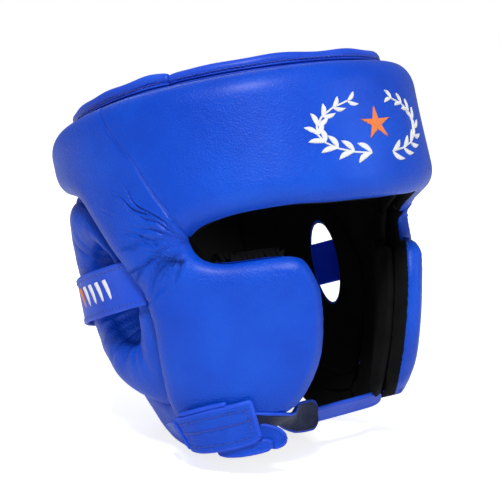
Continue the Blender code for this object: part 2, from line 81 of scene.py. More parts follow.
HALF_WIDTH = Curve([(0, 72), (20, 79), (35, 86), (55, 93), (80, 100), (115, 105), (150, 108), (240, 108)])
HALF_LENGTH = Curve([(0, 88), (50, 102), (70, 109), (100, 115), (150, 120), (240, 120)])
CHEEK_TURN = 48.0
CHEEK_DISTANCE = Curve([
    (0, 70), (20, 73), (37, 77), (60, 84), (90, 92), (128, 101), (142, 110), (158, 131), (240, 150),
])
CHEEK_BLEND = 5.0

PAD_DEPTH = 18.0
LINING_DEPTH = 7.6
JAW_DEPTH = 12.0
FLOOR = -PAD_DEPTH
INNER = -PAD_DEPTH - LINING_DEPTH - 1.1

BAND_TOP = 228.0
BAND_TOP_DIP = 5.0
BAND_BOTTOM = 194.0
REAR_TURN = 141.5
NAPE_TOP = 192.5
BROW = Curve([(0, 143), (15, 144), (30, 147), (45, 148), (54, 147), (60, 145), (63.5, 142)])
FRONT_SEAM = [(142, 63.5), (157, 66.5), (169, 70), (192, 76), (206, 81), (220, 85), (231, 89)]
CHEEK_FRONT = [
    (30, 58), (33, 47.5), (38, 37.8), (54, 28.3), (64, 25.5), (76, 24.1), (88, 23.5), (96, 23.5), (107, 25),
    (116, 27.5), (119.5, 31.5), (120.8, 38), (121.6, 46), (122.6, 53), (125, 58.8), (129, 62.5), (134, 64.2),
    (138, 64.6),
]
SIDE_REAR = Curve([
    (30, 91), (39, 94), (55, 93.5), (70, 90.5), (84, 88), (100, 86), (113, 86), (130, 90.5), (148, 97),
    (165, 103.5), (178, 109), (186, 118.5), (190, 130), (194, 141), (231, 141),
])
CHEEK_BOTTOM = Curve([(55, 34), (70, 30), (90, 29)])
NAPE_BOTTOM = Curve([(140, 73), (150, 64), (165, 49), (180, 45)])
JAW_BOTTOM = Curve([(88, 25), (98, 25), (105, 24), (112, 24), (118, 26), (124, 30), (132, 42), (142, 66)])

EAR_TURN = 110.5
EAR_HEIGHT = 122.0
EAR_HOLE_HALF_TURN = 12.5
EAR_HOLE_HALF_HEIGHT = 31.0
EAR_SLANT = 0.10
EAR_BOTTOM = Curve([(86, 57), (95, 51), (105, 52), (115, 58), (125, 68), (135, 79), (142, 88)])
EAR_LIFT = Curve([(88, -10), (98, -9), (112, -5), (124, -2), (142, -2)])

STRAP_HEIGHT = 124.5
STRAP_WIDTH = 28.0
STRAP_THICKNESS = 2.0
TAPE_THICKNESS = 0.7
STRAP_LIFT = Curve([(86, -12.0), (94, -7.6), (100, -6.2), (112, -2.6), (124, -0.6), (142, -0.6), (180, -0.6)])
STRAP_START = 87.0
TAB_HINGE_TURN = 150.0
TAB_END_TURN = 204.0
HINGE_GAP = 0.3


def outer_radius(turn, height):
    """Distance from the head's axis to the shell's outer surface."""
    turn, height = np.broadcast_arrays(np.asarray(turn, float), np.asarray(height, float))
    angle = np.radians(turn)
    length = HALF_LENGTH(np.where(np.abs(turn) > 90, height, np.maximum(height, 115)))
    oval = 1 / np.hypot(np.sin(angle) / HALF_WIDTH(height), np.cos(angle) / length)
    away = np.radians(np.abs(turn) - CHEEK_TURN)
    near = np.abs(away) <= math.radians(75)
    flat = CHEEK_DISTANCE(height) / np.cos(np.where(near, away, 0))
    eased = np.minimum(oval, flat) - CHEEK_BLEND * np.log1p(np.exp(-np.abs(oval - flat) / CHEEK_BLEND))
    return np.where(near, eased, oval)


def on_form(turn, height, lift=0.0):
    """Points at (turn, height), lift millimetres outside the shell's outer surface."""
    turn, height, lift = np.broadcast_arrays(np.asarray(turn, float), np.asarray(height, float), lift)
    reach = outer_radius(turn, height) + lift
    angle = np.radians(turn)
    return np.stack([-reach * np.sin(angle), -reach * np.cos(angle), height], -1)


def run_of(turn):
    return np.radians(turn) * UNROLL


def turn_of(flat):
    return np.degrees(flat[..., 0] / UNROLL)


def flat_at(turn, height):
    """The flat places at (turn, height)."""
    return np.stack(np.broadcast_arrays(run_of(turn), height), -1)


def from_flat(flat, lift=0.0):
    """The points of flat places (run, height)."""
    return on_form(turn_of(flat), flat[..., 1], lift)


def band_top(turn):
    return BAND_TOP - BAND_TOP_DIP * np.maximum(0.0, np.cos(np.radians(turn))) ** 2


def mirrored(points, side):
    """Side 1 is the wearer's right, where the points are drawn, and -1 is the left."""
    return points * np.array([side, 1.0, 1.0])


def unit_rows(rows):
    return rows / np.linalg.norm(rows, axis=1, keepdims=True)


def gap_to(places, line):
    """Each place's distance from the nearest point of a dense line."""
    blocks = [places[start : start + 4000] for start in range(0, len(places), 4000)]
    return np.concatenate([np.sqrt(((block[:, None] - line[None]) ** 2).sum(-1).min(1)) for block in blocks])


# ---------------------------------------------------------------- materials


def new_material(name, colour, roughness, specular=0.5, sheen=0.0, coat=0.0):
    made = bpy.data.materials.new(name)
    made.use_nodes = True
    shader = made.node_tree.nodes["Principled BSDF"]
    shader.inputs["Base Color"].default_value = (*colour, 1.0)
    shader.inputs["Roughness"].default_value = roughness
    shader.inputs["Specular IOR Level"].default_value = specular
    shader.inputs["Sheen Weight"].default_value = sheen
    shader.inputs["Coat Weight"].default_value = coat
    shader.inputs["Coat Roughness"].default_value = 0.35
    return made, made.node_tree.nodes, made.node_tree.links, shader


def noise(nodes, links, coords, scale, detail, rough):
    node = nodes.new("ShaderNodeTexNoise")
    node.inputs["Scale"].default_value = scale
    node.inputs["Detail"].default_value = detail
    node.inputs["Roughness"].default_value = rough
    links.new(coords, node.inputs["Vector"])
    return node.outputs["Fac"]


def ramp(nodes, links, source, stops):
    node = nodes.new("ShaderNodeValToRGB")
    while len(node.color_ramp.elements) < len(stops):
        node.color_ramp.elements.new(0.5)
    for element, (place, colour) in zip(node.color_ramp.elements, stops):
        element.position = place
        element.color = (*colour, 1.0)
    links.new(source, node.inputs["Fac"])
    return node.outputs["Color"]


def to_range(nodes, links, source, low, high):
    node = nodes.new("ShaderNodeMapRange")
    node.inputs["To Min"].default_value = low
    node.inputs["To Max"].default_value = high
    links.new(source, node.inputs["Value"])
    return node.outputs["Result"]


def bump(nodes, links, height, strength, distance, below=None):
    node = nodes.new("ShaderNodeBump")
    node.inputs["Strength"].default_value = strength
    node.inputs["Distance"].default_value = distance
    links.new(height, node.inputs["Height"])
    if below is not None:
        links.new(below, node.inputs["Normal"])
    return node.outputs["Normal"]


def leather(name, colour, dark, light, roughness=0.40, grain=1.0):
    """Full-grain leather: rounded pebbles about a millimetre across, fine pores and faint creases."""
    made, nodes, links, shader = new_material(name, colour, roughness, 0.11, 0.0, 0.20)
    place = nodes.new("ShaderNodeTexCoord").outputs["Object"]
    pebbles = nodes.new("ShaderNodeTexVoronoi")
    pebbles.feature = "SMOOTH_F1"
    pebbles.inputs["Scale"].default_value = 950.0
    pebbles.inputs["Smoothness"].default_value = 0.35
    links.new(place, pebbles.inputs["Vector"])
    drift = noise(nodes, links, place, 22.0, 3.0, 0.55)
    tint = ramp(nodes, links, drift, [(0.30, dark), (0.52, colour), (0.75, light)])
    links.new(tint, shader.inputs["Base Color"])
    gloss = noise(nodes, links, place, 140.0, 4.0, 0.6)
    links.new(to_range(nodes, links, gloss, roughness - 0.07, roughness + 0.10), shader.inputs["Roughness"])
    creases = noise(nodes, links, place, 260.0, 5.0, 0.62)
    pores = noise(nodes, links, place, 2600.0, 2.0, 0.5)
    first = bump(nodes, links, creases, 0.40 * grain, 0.0008)
    second = bump(nodes, links, pebbles.outputs["Distance"], 0.75 * grain, 0.00045, first)
    links.new(bump(nodes, links, pores, 0.16 * grain, 0.00012, second), shader.inputs["Normal"])
    return made


def suede(name, colour, pale):
    """Short-napped suede: matt, with a fine nap and faint brushed patches."""
    made, nodes, links, shader = new_material(name, colour, 0.95, 0.12, 0.0)
    place = nodes.new("ShaderNodeTexCoord").outputs["Object"]
    patches = noise(nodes, links, place, 60.0, 4.0, 0.6)
    links.new(ramp(nodes, links, patches, [(0.35, colour), (0.70, pale)]), shader.inputs["Base Color"])
    nap = noise(nodes, links, place, 1700.0, 4.0, 0.7)
    links.new(bump(nodes, links, nap, 0.5, 0.0005), shader.inputs["Normal"])
    return made


def thread(name, colour, dark):
    """Satin-stitch thread: a soft sheen with strands finer than half a millimetre, and painted shade in the
    grooves between them.
    """
    made, nodes, links, shader = new_material(name, colour, 0.48, 0.5, 0.25)
    place = nodes.new("ShaderNodeTexCoord").outputs["Object"]
    strands = nodes.new("ShaderNodeTexWave")
    strands.bands_direction = "DIAGONAL"
    strands.inputs["Scale"].default_value = 900.0
    strands.inputs["Distortion"].default_value = 1.2
    links.new(place, strands.inputs["Vector"])
    # dark is painted shade: it darkens the thread where the strands' bump is lowest, in the grooves between
    # them.
    tint = ramp(nodes, links, strands.outputs["Fac"], [(0.0, dark), (0.45, colour), (1.0, colour)])
    links.new(tint, shader.inputs["Base Color"])
    links.new(bump(nodes, links, strands.outputs["Fac"], 0.6, 0.0002), shader.inputs["Normal"])
    return made


def hook_and_loop(name, colour, pale):
    """Hook-and-loop tape: a dense field of tiny tufts in rows."""
    made, nodes, links, shader = new_material(name, colour, 0.85, 0.2, 0.2)
    place = nodes.new("ShaderNodeTexCoord").outputs["Object"]
    tufts = nodes.new("ShaderNodeTexVoronoi")
    tufts.inputs["Scale"].default_value = 1300.0
    tufts.inputs["Randomness"].default_value = 0.35
    links.new(place, tufts.inputs["Vector"])
    tint = ramp(nodes, links, tufts.outputs["Distance"], [(0.05, pale), (0.45, colour)])
    links.new(tint, shader.inputs["Base Color"])
    links.new(bump(nodes, links, tufts.outputs["Distance"], 0.8, 0.0005), shader.inputs["Normal"])
    return made


BLUE = leather("leather_blue", (0.0020, 0.060, 0.530), (0.0015, 0.048, 0.470), (0.0030, 0.076, 0.590))
BINDING = leather(
    "leather_binding", (0.0120, 0.070, 0.600), (0.0080, 0.052, 0.500), (0.0180, 0.092, 0.680), 0.46, 0.6
)
BLACK = suede("suede_black", (0.0032, 0.0033, 0.0036), (0.0060, 0.0062, 0.0068))
# Each thread's second colour is painted shade for the grooves between its strands.
WHITE = thread("thread_white", (0.86, 0.87, 0.88), (0.52, 0.54, 0.58))
ORANGE = thread("thread_orange", (0.90, 0.215, 0.022), (0.55, 0.10, 0.010))
STITCH = thread("thread_blue", (0.008, 0.045, 0.420), (0.004, 0.020, 0.200))
TAPE = hook_and_loop("hook_loop_navy", (0.003, 0.010, 0.045), (0.008, 0.026, 0.110))


# ---------------------------------------------------------------- pieces


def piece_from(name, points, faces, material, body, replaced=(), extra=None):
    """A piece in the row frame, from points in the head's frame (millimetres). extra is a second material and
    which faces have it."""
    points = np.asarray(points, float).reshape(-1, 3) @ HEAD_TURN.T * MM + np.array(HEAD_AT)
    mesh = bpy.data.meshes.new(name)
    mesh.from_pydata(points.tolist(), [], [tuple(int(i) for i in face) for face in faces])
    mesh.validate()
    shape = bmesh.new()
    shape.from_mesh(mesh)
    bmesh.ops.recalc_face_normals(shape, faces=shape.faces)
    shape.to_mesh(mesh)
    shape.free()
    mesh.materials.append(material)
    if extra is not None:
        second, chosen = extra
        mesh.materials.append(second)
        mesh.polygons.foreach_set("material_index", [int(i) for i in chosen])
    mesh.shade_smooth()
    made = bpy.data.objects.new(name, mesh)
    bpy.context.scene.collection.objects.link(made)
    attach(made, body)
    if replaced:
        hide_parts(*replaced)
    return made


def grid_faces(rows, columns, start=0, around=False):
    """Faces of a grid of points, row by row. around closes each row on itself."""
    last = columns if around else columns - 1
    return [
        (
            start + i * columns + j,
            start + i * columns + (j + 1) % columns,
            start + (i + 1) * columns + (j + 1) % columns,
            start + (i + 1) * columns + j,
        )
        for i in range(rows - 1)
        for j in range(last)
    ]


def tube_faces(rows, columns, start=0):
    """Faces of a tube of closed rows, with both ends capped."""
    ends = [range(columns), range(rows * columns - 1, (rows - 1) * columns - 1, -1)]
    return grid_faces(rows, columns, start, around=True) + [tuple(start + i for i in end) for end in ends]


def sheet_faces(rows, columns, start=0):
    """Faces of a grid of points, of a second one behind it, and of the wall between their rims."""
    count, rim = rows * columns, rim_of(rows, columns)
    faces = grid_faces(rows, columns, start)
    faces += [tuple(reversed(face)) for face in grid_faces(rows, columns, start + count)]
    for here, after in zip(rim, rim[1:] + rim[:1]):
        faces.append((start + here, start + after, start + count + after, start + count + here))
    return faces


def rim_of(rows, columns):
    rim = list(range(columns))
    rim += [i * columns + columns - 1 for i in range(1, rows)]
    rim += [(rows - 1) * columns + j for j in range(columns - 2, -1, -1)]
    rim += [i * columns for i in range(rows - 2, 0, -1)]
    return rim


def resample(points, count):
    """count points along a polyline, evenly by length."""
    points = np.asarray(points, float)
    lengths = np.concatenate([[0], np.cumsum(np.linalg.norm(np.diff(points, axis=0), axis=1))])
    share = np.linspace(0, 1, count)
    return np.stack([np.interp(share * lengths[-1], lengths, points[:, k]) for k in range(points.shape[1])], -1)


def crowded(count, amount):
    """Shares from 0 to 1, drawn towards both ends."""
    share = np.linspace(0, 1, count)
    return (1 - np.cos(np.pi * share)) / 2 * amount + (1 - amount) * share


class Patch:
    """A grid of flat places between four edges, with the distance and the way in from the rim."""

    def __init__(self, left, right, bottom, top, rows, columns, match=None):
        fine = np.linspace(0, 1, 400)
        v, u = crowded(rows, 0.6), crowded(columns, 0.75)

        def pick(edge, share):
            even = resample(edge, len(fine))
            return np.stack([np.interp(share, fine, even[:, k]) for k in (0, 1)], -1)

        left_side, right_side = pick(left, v), pick(right, match(v) if match else v)
        low, high = pick(bottom, u), pick(top, u)
        low[0], low[-1], high[0], high[-1] = left_side[0], right_side[0], left_side[-1], right_side[-1]
        uu, vv = u[None, :, None], v[:, None, None]
        self.flat = (1 - vv) * low[None] + vv * high[None]
        self.flat = self.flat + (1 - uu) * left_side[:, None] + uu * right_side[:, None]
        self.flat -= (1 - uu) * (1 - vv) * low[0] + uu * (1 - vv) * low[-1]
        self.flat -= (1 - uu) * vv * high[0] + uu * vv * high[-1]
        self.rows, self.columns = rows, columns
        self.rim = rim_of(rows, columns)
        self.settle()

    def settle(self):
        """Measures each place's distance from the rim, and which way is in."""
        places = self.flat.reshape(-1, 2)
        rim = places[self.rim]
        dense = resample(np.concatenate([rim, rim[:1]]), 1400)
        near = np.empty(len(places), int)
        for start in range(0, len(places), 2000):
            block = places[start : start + 2000]
            near[start : start + 2000] = ((block[:, None] - dense[None]) ** 2).sum(-1).argmin(1)
        away = places - dense[near]
        self.depth = np.linalg.norm(away, axis=1)
        self.depth[self.rim] = 0.0
        ahead = np.roll(rim, -2, axis=0) - np.roll(rim, 2, axis=0)
        inward = np.stack([-ahead[:, 1], ahead[:, 0]], -1)
        inward /= np.linalg.norm(inward, axis=1, keepdims=True) + 1e-9
        area = np.sum(rim[:, 0] * np.roll(rim[:, 1], -1) - rim[:, 1] * np.roll(rim[:, 0], -1))
        self.inward = inward if area > 0 else -inward
        self.way = away / (self.depth[:, None] + 1e-9)
        self.way[self.rim] = self.inward


def quarter(depth, radius, drop):
    """How far a rounded edge has dropped, at a distance in from it."""
    inside = np.clip(depth / radius, 0, 1)
    return drop * (1 - np.sqrt(1 - (1 - inside) ** 2))


WALL = ((0.1, 0.22), (0.6, 0.48), (2.0, 0.78), (5.0, 1.0))
LEATHER_LOOPS = 1
TUCK = 5.0
TUCK_REACH = 12.0


def pad_points(patch, crown, back, side, inset=0.0):
    """A closed pad: its crowned face, walls that tuck in, and its back. crown gives each place's lift."""
    places = patch.flat.reshape(-1, 2)
    places = places + patch.way * (inset * np.exp(-patch.depth / TUCK_REACH))[:, None]
    lift = crown(places, patch.depth)
    face = from_flat(places, lift)
    edge = places[patch.rim]
    edge_lift = lift[patch.rim]
    loops = [face]
    for tuck, share in WALL:
        loops.append(from_flat(edge + patch.inward * tuck, edge_lift + (back - edge_lift) * share))
    hidden = places + patch.way * (TUCK * np.exp(-patch.depth / TUCK_REACH))[:, None]
    loops.append(from_flat(hidden, back))
    grid = patch.rows * patch.columns
    rim, around = patch.rim, len(patch.rim)
    faces = grid_faces(patch.rows, patch.columns)
    starts = [grid + k * around for k in range(len(WALL))]
    for j in range(around):
        after = (j + 1) % around
        faces.append((rim[j], rim[after], starts[0] + after, starts[0] + j))
        for low, high in zip(starts, starts[1:]):
            faces.append((low + j, low + after, high + after, high + j))
    base = starts[-1] + around
    for j in range(around):
        after = (j + 1) % around
        faces.append((starts[-1] + j, starts[-1] + after, base + rim[after], base + rim[j]))
    faces += [tuple(reversed(face)) for face in grid_faces(patch.rows, patch.columns, base)]
    return mirrored(np.concatenate(loops), side), faces


def suede_faces(patch):
    """Which of a pad's faces are suede: its back, and its walls past the turned leather."""
    face, around = (patch.rows - 1) * (patch.columns - 1), len(patch.rim)
    walls = [0 if k < LEATHER_LOOPS else 1 for k in range(len(WALL))] * around
    return [0] * face + walls + [1] * around + [1] * face


def sine_drift(places, seed, size, amount):
    """Soft unevenness of hand-filled padding: a few crossing waves."""
    draw = random.Random(seed)
    total = np.zeros(len(places))
    for _ in range(7):
        angle = draw.uniform(0, math.pi)
        wave = size * draw.uniform(0.6, 1.6)
        way = np.array([math.cos(angle), math.sin(angle)]) * 2 * math.pi / wave
        total += np.sin(places @ way + draw.uniform(0, 6.3))
    return total * amount / 7


def crease_field(places, creases):
    """Creases, each (points, width, depth): a groove between two low ridges that fades at its ends. Where
    several meet, the deepest wins."""
    groove, ridge = np.zeros(len(places)), np.zeros(len(places))
    for line, width, depth in creases:
        line = resample(line, 40)
        low, high = line.min(0) - 6 * width, line.max(0) + 6 * width
        inside = np.all((places > low) & (places < high), axis=1)
        if not inside.any():
            continue
        gap = np.linalg.norm(places[inside][:, None] - line[None], axis=2)
        near = gap.argmin(1)
        gap = gap[np.arange(len(near)), near] / width
        along = near / (len(line) - 1)
        fade = depth * np.sin(np.pi * np.clip(along * 0.86 + 0.12, 0, 1)) ** 0.8
        groove[inside] = np.maximum(groove[inside], fade * np.exp(-(gap**2)))
        ridge[inside] = np.maximum(ridge[inside], 0.5 * fade * np.exp(-((gap - 1.8) ** 2)))
    return ridge - 1.25 * groove


def fan_of_creases(origin, facing, spread, count, seed, lengths, widths, depths):
    """Creases that fan out from one point of the rim, where the leather is pulled in."""
    draw = random.Random(seed)
    found = []
    for k in range(count):
        angle = facing + spread * ((k + 0.5) / count - 0.5) * 2 + draw.uniform(-0.10, 0.10)
        reach = draw.uniform(*lengths)
        start = draw.uniform(1.0, 9.0)
        bend = draw.uniform(-0.35, 0.35)
        line = []
        for step in np.linspace(0, 1, 9):
            here = start + reach * step
            swing = angle + bend * step + 0.05 * math.sin(9 * step + k)
            line.append((origin[0] + here * math.cos(swing), origin[1] + here * math.sin(swing)))
        found.append((line, draw.uniform(*widths), draw.uniform(*depths)))
    return found


# ---------------------------------------------------------------- padded panels


EDGE_ROLL = (15.0, 9.5)
END_ROLL = (4.0, 2.6)
SEAM_TOP = 88.0
SEAM_GAP = np.array([0.12, 0.0])
SEAM_WIDTH = 1.3
SEAM_DEPTH = 0.55
SIDE_END = 141.0
MIRROR = np.array([-1, 1])


def flat_line(stations):
    """Flat places of (height, turn) stations on a smooth curve."""
    curve = Curve(stations)
    height = np.linspace(curve.x[0], curve.x[-1], 240)
    return flat_at(curve(height), height)


def top_line(first, last):
    turn = np.linspace(first, last, 120)
    return flat_at(turn, band_top(turn))


seam_line = flat_line(FRONT_SEAM)
seam_line = seam_line[seam_line[:, 1] <= float(band_top(SEAM_TOP))]
cheek_line = flat_line(CHEEK_FRONT)
side_left = np.concatenate([cheek_line, seam_line[1:]])
EYE_CORNER = flat_at(64, 137.0)
CREASE_ROOT = EYE_CORNER + np.array([-4.0, 3.0])


def temple_pinch(places):
    """The leather is drawn in behind the eye's corner, between the band and the cheek."""
    run, height = places[:, 0] - CREASE_ROOT[0], places[:, 1]
    across = np.exp(-(((height - CREASE_ROOT[1] - 0.10 * run) / 9.0) ** 2))
    along = np.exp(-((np.clip(run, 0, None) / 17.0) ** 2)) * np.exp(-((np.clip(-run, 0, None) / 14.0) ** 2))
    return -2.6 * across * along


def seam_dip(places):
    """The stitched seam draws the surface down along its line."""
    line = resample(seam_line, 260)
    low, high = line.min(0) - 12, line.max(0) + 12
    inside = np.all((places > low) & (places < high), axis=1)
    total = np.zeros(len(places))
    if inside.any():
        total[inside] = -SEAM_DEPTH * np.exp(-((gap_to(places[inside], line) / SEAM_WIDTH) ** 2))
    return total


def edge_depth(places, line):
    return gap_to(places, resample(line, 500))


def brow_roll(places):
    """The band's front rolls in at its brow and at its top."""
    turn, height = turn_of(places), places[:, 1]
    free = np.minimum(height - BROW(np.abs(turn)), band_top(turn) - height)
    return -quarter(np.maximum(free, 0), *EDGE_ROLL)


def seam_lift(places):
    """How high the raised seam stands: it follows the two covers that it joins."""
    return brow_roll(places) - 0.45 + 0.75 * temple_pinch(places)


def forehead_patch():
    turn = np.linspace(-63.5, 63.5, 220)
    left, right = seam_line * MIRROR + SEAM_GAP, seam_line - SEAM_GAP
    return Patch(left, right, flat_at(turn, BROW(np.abs(turn))), top_line(-SEAM_TOP, SEAM_TOP), 84, 190)


def forehead_crown(places, depth):
    other = places * MIRROR
    seams = np.minimum(edge_depth(places, seam_line), edge_depth(other, seam_line))
    lift = np.minimum(brow_roll(places), 0) + seam_dip(places) + seam_dip(other)
    lift += 0.5 * temple_pinch(places) + 0.5 * temple_pinch(other)
    lift += sine_drift(places, 3, 46, 0.55) * np.clip(depth / 8, 0, 1)
    fans = []
    for side in (1, -1):
        corner = EYE_CORNER * np.array([side, 1])
        facing = math.radians(118 if side == 1 else 62)
        fans += fan_of_creases(corner, facing, 0.55, 7, 20 + side, (8, 26), (0.7, 1.2), (0.15, 0.42))
        for k in range(10):
            draw = random.Random(90 + k)
            x = side * run_of(draw.uniform(58, 76))
            z = draw.uniform(160, 205)
            line = [(x, z), (x - side * draw.uniform(5, 11), z - draw.uniform(-1, 4))]
            fans.append((line, draw.uniform(0.5, 0.8), draw.uniform(0.06, 0.14)))
    return lift + crease_field(places, fans) * np.clip(seams / 2.5, 0, 1)


def side_patch():
    height = np.linspace(30, float(band_top(SIDE_END)), 300)
    turn = np.linspace(63, 89, 60)
    edges = side_left + SEAM_GAP, flat_at(SIDE_REAR(height), height), flat_at(turn, CHEEK_BOTTOM(turn))
    match = Curve([(0, 0), (0.32, 0.26), (0.60, 0.49), (0.80, 0.76), (1, 1)])
    return Patch(*edges, top_line(SEAM_TOP, SIDE_END), 290, 170, match)


def side_crown(places, depth):
    turn, height = turn_of(places), places[:, 1]
    rear_height = np.linspace(30, 231, 400)
    rear_height = rear_height[rear_height < 196]
    rear = flat_at(SIDE_REAR(rear_height), rear_height)
    top = np.maximum(band_top(turn) - height, 0)
    bottom = np.maximum(height - CHEEK_BOTTOM(turn), 0) + 2.0
    end = np.where(height > 196, run_of(SIDE_END) - places[:, 0], 40.0)
    free = np.minimum.reduce([edge_depth(places, cheek_line), edge_depth(places, rear), top, bottom])
    lift = -quarter(free, *EDGE_ROLL) - quarter(np.maximum(end, 0), *END_ROLL)
    lift += seam_dip(places) + temple_pinch(places)
    lift += sine_drift(places, 5, 52, 0.6) * np.clip(depth / 8, 0, 1)
    creases = fan_of_creases(CREASE_ROOT, 0.05, 0.80, 13, 7, (20, 48), (0.6, 1.0), (0.9, 1.6))
    creases += fan_of_creases(CREASE_ROOT, 0.20, 1.00, 20, 8, (9, 26), (0.5, 0.8), (0.5, 1.0))
    for rise, reach, sag in ((-9, 52, -3), (-20, 44, 5), (3, 40, 2)):
        start = CREASE_ROOT + np.array([6.0, rise * 0.12])
        steps = np.linspace(0, 1, 9)[:, None]
        long_fold = start + steps * np.array([reach, rise]) + np.sin(np.pi * steps) * np.array([0, sag])
        creases.append((long_fold, 0.7, 1.1))
    fold = [(EYE_CORNER[0] + 18, 118), (EYE_CORNER[0] + 32, 112), (EYE_CORNER[0] + 42, 110)]
    creases.append((fold, 1.6, 0.9))
    draw = random.Random(31)
    for _ in range(26):
        x, z = run_of(draw.uniform(64, 100)), draw.uniform(92, 178)
        way = draw.uniform(-0.35, 0.55)
        reach = draw.uniform(5, 13)
        line = [(x, z), (x + reach * math.cos(way), z + reach * math.sin(way))]
        creases.append((line, draw.uniform(0.5, 0.9), draw.uniform(0.05, 0.16)))
    creases += fan_of_creases(flat_at(29, 104.0), 0.3, 0.5, 6, 44, (8, 20), (0.8, 1.3), (0.08, 0.2))
    return lift + crease_field(places, creases) * np.clip(free / 2.0, 0.2, 1)


def strip_patch(turn, low, high, rows, columns):
    """A patch between two heights, with straight ends."""
    bottom, top = flat_at(turn, low), flat_at(turn, high)
    ends = [np.linspace(bottom[k], top[k], 40) for k in (0, -1)]
    return Patch(*ends, bottom, top, rows, columns)


def from_behind(turn):
    """The turn on the wearer's right that mirrors one on the left."""
    return np.where(turn > 180, 360 - turn, turn)


def rear_patch():
    turn = np.linspace(REAR_TURN, 360 - REAR_TURN, 100)
    return strip_patch(turn, BAND_BOTTOM, BAND_TOP, 34, 80)


def nape_patch():
    turn = np.linspace(REAR_TURN + 1, 359 - REAR_TURN, 140)
    return strip_patch(turn, NAPE_BOTTOM(from_behind(turn)), NAPE_TOP, 100, 76)


def nape_crown(places, depth):
    lift = -3.4 - quarter(depth, 15.0, 9.0) + sine_drift(places, 9, 50, 0.5) * np.clip(depth / 8, 0, 1)
    for turn in (166.0, 194.0):
        ends = np.clip((places[:, 1] - 58) / 12, 0, 1) * np.clip((182 - places[:, 1]) / 12, 0, 1)
        lift -= 2.6 * np.exp(-(((places[:, 0] - run_of(turn)) / 2.4) ** 2)) * ends
    return lift


def rear_crown(places, depth):
    top = BAND_TOP - places[:, 1]
    bottom = places[:, 1] - BAND_BOTTOM
    ends = np.minimum(places[:, 0] - run_of(REAR_TURN), run_of(360 - REAR_TURN) - places[:, 0])
    lift = -quarter(np.maximum(np.minimum(top, bottom), 0), 14.0, 9.0)
    return lift - quarter(np.maximum(ends, 0), *END_ROLL) + sine_drift(places, 12, 40, 0.4)


def lining_crown(places, depth):
    """The lining's visible face looks at the head, so its edges roll outwards."""
    return INNER + quarter(depth, 9.0, 3.6) + sine_drift(places, 21, 60, 0.25)


def add_pad(name, patch, crown, side, replaced):
    points, faces = pad_points(patch, crown, FLOOR, side)
    made = piece_from(name, points, faces, BLUE, "shell", replaced, (BLACK, suede_faces(patch)))


def add_lining(name, patch, side, replaced):
    points, faces = pad_points(patch, lining_crown, FLOOR - 0.7, side, inset=1.2)
    made = piece_from(name, points, faces, BLACK, "shell", replaced)


def add_line(name, points, radius, material, body="shell", replaced=(), sides=8):
    """A round cord along points (millimetres) with domed ends: piping, bindings and seams."""
    points = np.asarray(points, float)
    ways = unit_rows(np.gradient(points, axis=0))
    side = np.cross(ways, [0, 0, 1.0])
    flat = np.linalg.norm(side, axis=1) < 0.2
    side[flat] = np.cross(ways[flat], [0, 1.0, 0])
    side = unit_rows(side)
    lifted = np.cross(side, ways)
    sizes = np.full(len(points), radius)
    sizes[0] = sizes[-1] = radius * 0.45
    around = np.linspace(0, 2 * np.pi, sides, endpoint=False)
    rings = points[:, None] + sizes[:, None, None] * (
        side[:, None] * np.cos(around)[None, :, None] + lifted[:, None] * np.sin(around)[None, :, None]
    )
    piece_from(name, rings, tube_faces(len(points), sides), material, body, replaced)


STITCH_SIDES = 6
STITCH_STEPS = 12


def add_stitches(name, lines, body="shell", pitch=3.4, length=2.3, radius=0.34):
    """Rows of separate stitches as one piece: each is a short thread that dips into the leather at both ends.
    Each line comes with its outward direction, or one for each of its points."""
    points, faces, start = [], [], 0
    around = np.linspace(0, 2 * np.pi, STITCH_SIDES, endpoint=False)
    for line, normal in lines:
        line = np.asarray(line, float)
        total = np.linalg.norm(np.diff(line, axis=0), axis=1).sum()
        count = max(int(total / pitch), 1)
        marks = resample(line, count * STITCH_STEPS + 1)
        ups = np.asarray(normal, float)
        if ups.ndim == 2:
            ups = ups[np.floor(np.linspace(0, len(ups) - 1, len(marks))).astype(int)]
        ups = np.broadcast_to(ups, marks.shape)
        span = max(int(round(STITCH_STEPS * length / pitch)), 2)
        for k in range(count):
            taken = slice(k * STITCH_STEPS, k * STITCH_STEPS + span + 1, 2)
            part, up = marks[taken], unit_rows(ups[taken])
            arch = np.sin(np.linspace(0, np.pi, len(part)))[:, None] * radius * 1.1 - radius * 0.35
            way = part[-1] - part[0]
            way = way / (np.linalg.norm(way) + 1e-9)
            across = np.cross(up, way)
            ring = part[:, None] + up[:, None] * arch[:, None]
            ring = ring + radius * (
                across[:, None] * np.cos(around)[None, :, None] + up[:, None] * np.sin(around)[None, :, None]
            )
            points.append(ring.reshape(-1, 3))
            faces += tube_faces(len(part), STITCH_SIDES, start)
            start += len(part) * STITCH_SIDES
    piece_from(name, np.concatenate(points), faces, STITCH, body)


# ---------------------------------------------------------------- ear pads


def ear_reach(angles):
    """How far the ear pad reaches from its hole's centre in each direction of the flat map."""
    reach = np.arange(1.0, 90.0, 0.5)
    run = reach[None] * np.cos(angles)[:, None]
    turn = EAR_TURN + np.degrees(run / UNROLL)
    height = EAR_HEIGHT + reach[None] * np.sin(angles)[:, None]
    front = np.max([SIDE_REAR(height + shift) for shift in (-4, 0, 4)], axis=0) + math.degrees(1.2 / UNROLL)
    out = (turn < front) | (turn > REAR_TURN) | (height > NAPE_TOP - 6) | (height < EAR_BOTTOM(turn))
    first = np.where(out.any(1), out.argmax(1), out.shape[1] - 1)
    fine = reach[first] - 0.5
    kernel = np.exp(-(np.arange(-14, 15) / 6.0) ** 2)
    kernel /= kernel.sum()
    wide = np.concatenate([fine[-14:], fine, fine[:14]])
    return np.minimum(np.convolve(wide, kernel, "valid"), fine + 1.0)


EAR_POINTS = 240
EAR_ROLL = 9.5
SIDES = ((1, "right"), (-1, "left"))


def ear_lift(places):
    return EAR_LIFT(turn_of(places))


